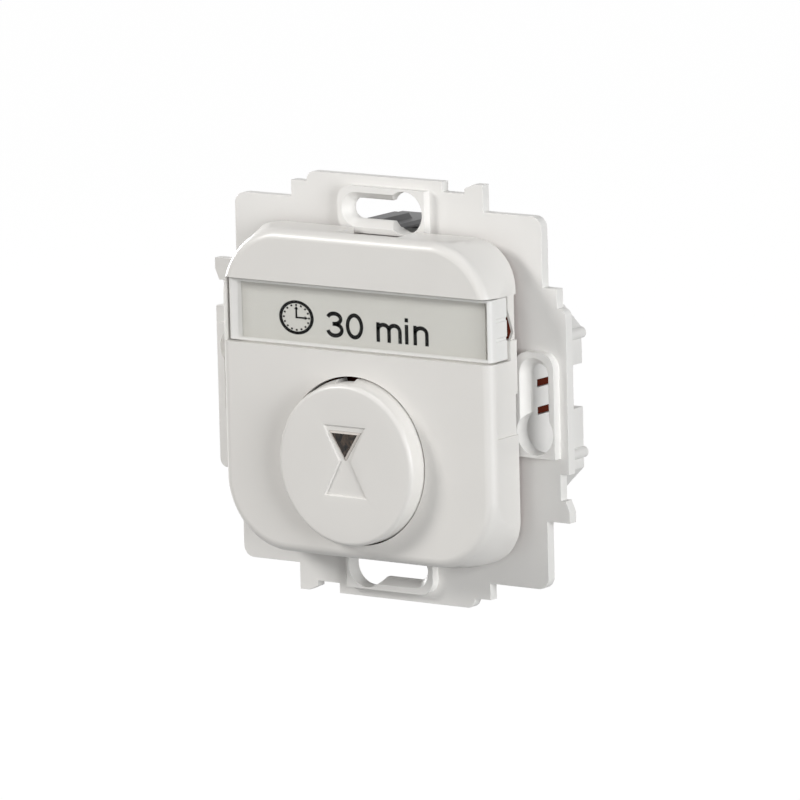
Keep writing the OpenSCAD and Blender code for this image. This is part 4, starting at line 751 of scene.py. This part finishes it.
def surface(name, maker, rgb, roughness, mottle, grain, relief, **plain):
    """A material whose colour, gloss and fine relief come from an effect; plain names shader sockets."""
    material = bpy.data.materials.new(name + FINISH)
    material.use_nodes = True
    tree = material.node_tree
    shader = tree.nodes["Principled BSDF"]
    sockets = {"Colour": (*rgb, 1), "Roughness": roughness, "Mottle": mottle, "Grain": grain}
    given = add_node(tree, "ShaderNodeGroup", sockets, node_tree=effect(maker)).outputs
    bump = add_node(tree, "ShaderNodeBump", {"Height": given["Height"], "Strength": RELIEF_STRENGTH,
                                             "Distance": relief})
    tree.links.new(given["Colour"], shader.inputs["Base Color"])
    tree.links.new(given["Roughness"], shader.inputs["Roughness"])
    tree.links.new(bump.outputs[0], shader.inputs["Normal"])
    for socket, value in plain.items():
        shader.inputs[socket.replace("_", " ")].default_value = value
    return material


def plastic(name, rgb, roughness, grain=3500.0, relief=0.012 * MM, mottle=0.05, **plain):
    """A moulded or pressed surface: plastic, card, ink or lacquer."""
    return surface(name, moulded_grain, rgb, roughness, mottle, grain, relief, **plain)


def metal(name, rgb, roughness):
    """Bare sheet metal or wire."""
    return surface(name, drawn_metal, rgb, roughness, mottle=0.25, grain=6000.0, relief=0.008 * MM,
                   Metallic=1.0)


def board(name, rgb):
    """A lacquered circuit board."""
    return surface(name, woven_board, rgb, roughness=0.4, mottle=0.25, grain=260.0, relief=0.02 * MM,
                   Coat_Weight=0.3)


def clear(name, rgb, roughness, relief, bend, see=1.0):
    """A clear plastic, or, with see at nought, an opaque one such as the pale painted light on the window's
    rim. It lets shadow rays straight through, so that what is behind it stays lit.

    bend is its index of refraction, and see the share of it that is clear.
    """
    material = surface(name, moulded_grain, rgb, roughness, mottle=0.02, grain=1800.0, relief=relief,
                       Transmission_Weight=see, IOR=bend)
    tree = material.node_tree
    path = add_node(tree, "ShaderNodeLightPath").outputs
    straight = combine(tree, "MAXIMUM", path["Is Shadow Ray"], path["Is Diffuse Ray"])
    through = add_node(tree, "ShaderNodeBsdfTransparent", {"Color": (*rgb, 1)})
    show_mix(tree, tree.nodes["Material Output"], straight, tree.nodes["Principled BSDF"], through)
    return material


def make_finishes(tone):
    """One material for each slot of the record, and those for the ink, the lens's edge and the window."""
    plastic("white_plastic", tone.plate_white, 0.48, relief=0.02 * MM)
    plastic("white_gloss", tone.cover_white, 0.34, grain=2600.0, Coat_Weight=0.06, Coat_Roughness=0.15)
    plastic("brown_plastic", tone.chassis_brown, 0.6, mottle=0.3, Specular_IOR_Level=0.04)
    plastic("grey_plastic", tone.lever_grey, 0.45, mottle=0.15)
    plastic("card", tone.paper, 0.8, grain=2200.0, relief=0.02 * MM, mottle=0.08)
    plastic("ink", tone.ink, 0.7, mottle=0.4, Specular_IOR_Level=0.1)
    clear("clear_plastic", tone.window_tint, 0.06, relief=0.002 * MM, bend=1.1)
    # The lens's own colour paints the shaded lamp behind it, so only a little light passes through.
    surface("clear_lens", streaked_lamp, tone.lens_tint, 0.2, mottle=7.0, grain=620.0, relief=0.02 * MM,
            Transmission_Weight=0.2, Coat_Weight=0.1, Specular_IOR_Level=0.3)
    plastic("lens_frost", tone.lens_frost, 0.55, mottle=0.15)
    # The window's rim and ends are painted light, a pale colour that stands in for bright refracted edges. It
    # lets shadow rays through on the front and is opaque on the legs.
    clear("window_frost", tone.window_frost, 0.3, relief=0.004 * MM, bend=1.45, see=0.0)
    plastic("window_leg", tone.window_frost, 0.3, relief=0.004 * MM)
    clear("amber_lamp", RECORD_COLOUR["amber_lamp"], 0.12, relief=0.004 * MM, bend=1.49)
    for slot in ("black_plastic", "pale_plastic", "blue_plastic", "red_plastic", "dark_sleeve",
                 "tan_lacquer"):
        plastic(slot, RECORD_COLOUR[slot], 0.38, mottle=0.2)
    for slot in ("spring_steel", "zinc_steel", "brass"):
        metal(slot, RECORD_COLOUR[slot], 0.32)
    surface("coil_wire", woven_board, RECORD_COLOUR["coil_wire"], 0.3, mottle=0.6, grain=800.0,
            relief=0.05 * MM)
    for slot in ("green_board", "brown_board"):
        board(slot, RECORD_COLOUR[slot])


def finish(slot):
    """The material of a slot; all of them are made on the first call."""
    if slot + FINISH not in bpy.data.materials:
        make_finishes(bpy.context.scene.switch_finish)
    return bpy.data.materials[slot + FINISH]


class MouldedPiece:
    """Common part of the operators that finish a copy of a CAD node."""

    nodes = ()
    rounding = "fine_edge_round"

    def execute(self, context):
        for node in self.nodes:
            moulded_copy(node, getattr(context.scene.switch_shape, self.rounding), finish(SLOT_OF[node]))
        return {"FINISHED"}


class TIMERSWITCH_OT_mounting_plate(MouldedPiece, bpy.types.Operator):
    """Finish the mounting plate with rounded moulded edges"""

    bl_idname = "timer_switch.mounting_plate"
    bl_label = "Mounting plate"
    nodes = ("mounting_plate",)
    rounding = "edge_round"


class TIMERSWITCH_OT_rear_housing(MouldedPiece, bpy.types.Operator):
    """Finish the rear housing with rounded moulded edges"""

    bl_idname = "timer_switch.rear_housing"
    bl_label = "Rear housing"
    nodes = ("rear_housing",)
    rounding = "edge_round"


class TIMERSWITCH_OT_inner_chassis(MouldedPiece, bpy.types.Operator):
    """Finish the brown inner chassis"""

    bl_idname = "timer_switch.inner_chassis"
    bl_label = "Inner chassis"
    nodes = ("inner_chassis",)


class TIMERSWITCH_OT_cover(MouldedPiece, bpy.types.Operator):
    """Finish the front cover"""

    bl_idname = "timer_switch.cover"
    bl_label = "Cover"
    nodes = ("cover",)
    rounding = "cover_edge_round"


class TIMERSWITCH_OT_label_window(bpy.types.Operator):
    """Finish the clear label window, with painted light on its rim and legs: a pale colour that stands in for
    their bright refracted edges
    """

    bl_idname = "timer_switch.label_window"
    bl_label = "Label window"

    def execute(self, context):
        shape = context.scene.switch_shape
        low, high = span("label_window")
        clear_low = low[[0, 2]] + (shape.window_left, shape.window_rim)
        clear_high = high[[0, 2]] - (shape.window_right, shape.window_rim)
        made = moulded_copy("label_window", shape.window_edge_round, finish("clear_plastic"))
        window = bmesh.new()
        window.from_mesh(made.data)
        for corner in (clear_low, clear_high):
            for place, way in zip(corner, ((1, 0, 0), (0, 0, 1))):
                bmesh.ops.bisect_plane(window, geom=window.verts[:] + window.edges[:] + window.faces[:],
                                       dist=MERGE, plane_co=Vector(way) * place, plane_no=way)
        web = np.array([shape.web_t, shape.web_l, shape.web_h])
        middle = (high[0] - shape.leg_t + shape.web_t / 2, high[1] - shape.web_back - shape.web_l / 2,
                  (low[2] + high[2]) / 2)
        bmesh.ops.create_cube(window, matrix=Matrix.Translation(middle) @ Matrix.Diagonal((*web, 1)))
        window.to_mesh(made.data)
        window.free()
        made.data.materials.append(finish("window_frost"))
        made.data.materials.append(finish("window_leg"))
        # The rim and both ends get the pale colour that stands in for the window's bright refracted edges and
        # the lit wall seen through its ends: painted light. The legs' inner faces get an opaque copy of it,
        # which keeps the gap beside them in shadow.
        x, y, z = per_face(made.data, "center")
        at_end = (x < clear_low[0]) | (x > clear_high[0])
        painted_light = at_end | (z < clear_low[1]) | (z > clear_high[1])
        leg = at_end & (y > low[1] + shape.window_edge_round)
        made.data.polygons.foreach_set("material_index", painted_light.astype(np.int32) + leg)
        return {"FINISHED"}


class TIMERSWITCH_OT_release_levers(MouldedPiece, bpy.types.Operator):
    """Finish both release levers"""

    bl_idname = "timer_switch.release_levers"
    bl_label = "Release levers"
    nodes = ("release_lever_top", "release_lever_bottom")


class TIMERSWITCH_OT_label_card(bpy.types.Operator):
    """Make the label card with its printed clock and legend"""

    bl_idname = "timer_switch.label_card"
    bl_label = "Label card"

    def execute(self, context):
        shape = context.scene.switch_shape
        low, high = span("label_card")
        front, rear = low[1] - shape.print_t, low[1]
        piece("label_card_sheet", mesh_of("label_card_sheet", [card_grid()]), "label_card", finish("card"))
        for name, grids in (("label_legend", legend_grids), ("label_clock", clock_grids)):
            mesh = mesh_of(name, grids(shape, front, rear))
            piece(name, mesh, "label_card", finish("ink"), replaces=False)
        return {"FINISHED"}


class TIMERSWITCH_OT_push_button(bpy.types.Operator):
    """Make the push button with its sunken hourglass mark, guide pins and stem"""

    bl_idname = "timer_switch.push_button"
    bl_label = "Push button"

    def execute(self, context):
        shape = context.scene.switch_shape
        low, high = span("push_button")
        axis_z = (low[2] + high[2]) / 2
        inner = low[1] + shape.button_face_t
        root = inner - shape.root
        rods = [rod(side * shape.guide_x, axis_z, shape.guide_r, root, high[1], shape.guide_round)
                for side in (-1, 1)]
        rods.append(rod(0, axis_z - shape.stem_drop, shape.stem_r, root, inner + shape.stem_l,
                        shape.stem_round))
        mesh = mesh_of("push_button_cap", button_grids(shape) + rods)
        piece("push_button_cap", mesh, "push_button", finish("white_gloss"))
        return {"FINISHED"}


class TIMERSWITCH_OT_button_lens(bpy.types.Operator):
    """Make the lens in the hourglass mark, dark in its middle with painted shade of the unlit lamp behind it,
    with a pale matt finish on its sloping edges
    """

    bl_idname = "timer_switch.button_lens"
    bl_label = "Button lens"

    def execute(self, context):
        mesh = mesh_of("button_lens_prism", [lens_grid(context.scene.switch_shape)])
        piece("button_lens_prism", mesh, "button_lens", finish("clear_lens"), sharp=LENS_SHARP)
        mesh.materials.append(finish("lens_frost"))
        facing = np.abs(per_face(mesh, "normal")[1])
        sloping = (facing > LENS_SLOPING[0]) & (facing < LENS_SLOPING[1])
        mesh.polygons.foreach_set("material_index", sloping.astype(np.int32))
        return {"FINISHED"}


class TIMERSWITCH_OT_button_springs(bpy.types.Operator):
    """Make both return springs of the button"""

    bl_idname = "timer_switch.button_springs"
    bl_label = "Button springs"

    def execute(self, context):
        for node in ("button_spring_left", "button_spring_right"):
            mesh = mesh_of(node + "_coil", [spring_grid(node, context.scene.switch_shape)])
            spring = piece(node + "_coil", mesh, node, finish("spring_steel"))
            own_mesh(spring)
        return {"FINISHED"}


class TIMERSWITCH_OT_terminal_springs(bpy.types.Operator):
    """Make the terminal springs as merged copies of their CAD nodes"""

    bl_idname = "timer_switch.terminal_springs"
    bl_label = "Terminal springs"

    def execute(self, context):
        for end in ("top", "bottom"):
            node = "terminal_springs_" + end
            springs = piece(node + "_bent", merged_copy(node + "_bent", node), node, finish(SLOT_OF[node]))
            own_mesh(springs)
        return {"FINISHED"}


class TIMERSWITCH_OT_inner_works(bpy.types.Operator):
    """Give every CAD node that stays its material"""

    bl_idname = "timer_switch.inner_works"
    bl_label = "Inner works"

    def execute(self, context):
        for node, part in frame["nodes"].items():
            if not part.hide_render:
                part.data.materials.clear()
                part.data.materials.append(finish(SLOT_OF[node]))
        return {"FINISHED"}


def backdrop_share(tree):
    """One for rays that see the background straight, in a gloss or through glass, and nought for the rest."""
    path = add_node(tree, "ShaderNodeLightPath").outputs
    seen = combine(tree, "MAXIMUM", path["Is Camera Ray"], path["Is Glossy Ray"])
    return combine(tree, "MAXIMUM", seen, path["Is Transmission Ray"])


def make_world(stage):
    """White where it is seen, and an even light of the ambient strength elsewhere."""
    world = bpy.data.worlds.new("studio")
    world.use_nodes = True
    tree = world.node_tree
    tree.nodes.clear()
    even = add_node(tree, "ShaderNodeBackground", {"Color": (1, 0.99, 0.975, 1), "Strength": stage.ambient})
    white = add_node(tree, "ShaderNodeBackground", {"Color": (1, 1, 1, 1), "Strength": 1.0})
    show_mix(tree, add_node(tree, "ShaderNodeOutputWorld"), backdrop_share(tree), even, white)
    bpy.context.scene.world = world


def make_floor(stage):
    """A large level floor: pale, and nearly white where it is seen, so that it keeps a soft shadow."""
    half = stage.floor_size / 2
    line = np.linspace(-half, half, FLOOR_POINTS)
    across, along = np.meshgrid(line, line)
    grid = np.stack([across, along, np.full_like(across, -stage.floor_drop)], axis=-1)
    floor = placed("floor", mesh_of("floor", [(grid, False)]))
    material = bpy.data.materials.new("pale_floor")
    material.use_nodes = True
    tree = material.node_tree
    shader = tree.nodes["Principled BSDF"]
    shader.inputs["Base Color"].default_value = (0.2, 0.2, 0.198, 1)
    shader.inputs["Roughness"].default_value = 0.9
    glow = add_node(tree, "ShaderNodeEmission", {"Color": (1, 1, 1, 1), "Strength": stage.floor_glow})
    share = combine(tree, "MULTIPLY", backdrop_share(tree), 1 - stage.floor_shade)
    show_mix(tree, tree.nodes["Material Output"], share, shader, glow)
    floor.data.materials.append(material)


def direction(azimuth, elevation):
    """Unit vector from the object: azimuth nought is the front, and a quarter turn the right side."""
    return Vector((math.sin(azimuth) * math.cos(elevation), -math.cos(azimuth) * math.cos(elevation),
                   math.sin(elevation)))


def make_light(name, azimuth, elevation, distance, size, power, tint):
    """A square soft light that looks at the plate's middle; angles in degrees, power in watts."""
    lamp = bpy.data.lights.new(name, "AREA")
    lamp.size = size
    lamp.energy = power
    lamp.color = tint
    light = placed(name, lamp)
    way = direction(math.radians(azimuth), math.radians(elevation))
    light.location = way * distance
    light.rotation_euler = way.to_track_quat("Z", "Y").to_euler()


# Name, azimuth and elevation in degrees, distance and size in metres, power in watts, colour
LIGHTS = (
    ("key", -47, 29, 1.0, 0.3, 5.75, (1, 0.985, 0.965)),
    ("front", 28, 8, 1.0, 0.4, 1.5, (1, 0.99, 0.975)),
    ("fill", 70, 8, 1.0, 0.5, 7.5, (0.985, 0.995, 1)),
    ("top", 0, 75, 1.0, 0.5, 1.5, (1, 1, 1)),
    ("back", 248, 8, 1.1, 0.4, 6.5, (1, 1, 1)),
)


def make_camera(stage):
    """The camera, which looks at the middle of the plate's front, with its roll and shift."""
    back = direction(stage.azimuth, stage.elevation)
    right = Vector((math.cos(stage.azimuth), math.sin(stage.azimuth), 0))
    up = back.cross(right)
    turned_right = math.cos(stage.roll) * right + math.sin(stage.roll) * up
    turned_up = math.cos(stage.roll) * up - math.sin(stage.roll) * right
    lens = bpy.data.cameras.new("camera")
    lens.lens = stage.focal
    lens.shift_x = stage.shift_x
    lens.shift_y = stage.shift_y
    lens.clip_start = stage.near
    lens.clip_end = stage.far
    camera = placed("camera", lens)
    plate_front = Vector((0, stage.plate_front, 0))
    axes = Matrix((turned_right, turned_up, back)).transposed().to_4x4()
    camera.matrix_world = Matrix.Translation(plate_front + back * stage.distance) @ axes
    bpy.context.scene.camera = camera


class TIMERSWITCH_OT_stage(bpy.types.Operator):
    """Make the camera, the floor, the background and the studio lights"""

    bl_idname = "timer_switch.stage"
    bl_label = "Stage"

    def execute(self, context):
        stage = context.scene.switch_stage
        make_camera(stage)
        make_world(stage)
        make_floor(stage)
        for light in LIGHTS:
            make_light(*light)
        context.scene.view_settings.view_transform = "Standard"
        return {"FINISHED"}


STEPS = ("stage", "mounting_plate", "rear_housing", "inner_chassis", "cover", "label_window", "label_card",
         "push_button", "button_lens", "button_springs", "release_levers", "terminal_springs", "inner_works")


class TIMERSWITCH_PT_panel(bpy.types.Panel):
    """List of the pieces and their settings"""

    bl_idname = "TIMERSWITCH_PT_panel"
    bl_label = "Timer switch"
    bl_space_type = "VIEW_3D"
    bl_region_type = "UI"
    bl_category = "Timer switch"

    def draw(self, context):
        for step in STEPS:
            self.layout.operator("timer_switch." + step)
        for settings in (context.scene.switch_shape, context.scene.switch_finish, context.scene.switch_stage):
            box = self.layout.box()
            for name in settings.__annotations__:
                box.prop(settings, name)


CLASSES = (SwitchShape, SwitchFinish, SwitchStage, TIMERSWITCH_OT_mounting_plate, TIMERSWITCH_OT_rear_housing,
           TIMERSWITCH_OT_inner_chassis, TIMERSWITCH_OT_cover, TIMERSWITCH_OT_label_window,
           TIMERSWITCH_OT_release_levers, TIMERSWITCH_OT_label_card, TIMERSWITCH_OT_push_button,
           TIMERSWITCH_OT_button_lens, TIMERSWITCH_OT_button_springs, TIMERSWITCH_OT_terminal_springs,
           TIMERSWITCH_OT_inner_works, TIMERSWITCH_OT_stage, TIMERSWITCH_PT_panel)


def register():
    for kind in CLASSES:
        bpy.utils.register_class(kind)
    bpy.types.Scene.switch_shape = PointerProperty(type=SwitchShape)
    bpy.types.Scene.switch_finish = PointerProperty(type=SwitchFinish)
    bpy.types.Scene.switch_stage = PointerProperty(type=SwitchStage)


def unregister():
    del bpy.types.Scene.switch_stage
    del bpy.types.Scene.switch_finish
    del bpy.types.Scene.switch_shape
    for kind in reversed(CLASSES):
        bpy.utils.unregister_class(kind)


def main():
    register()
    for step in STEPS:
        getattr(bpy.ops.timer_switch, step)()


if __name__ == "__main__":
    main()
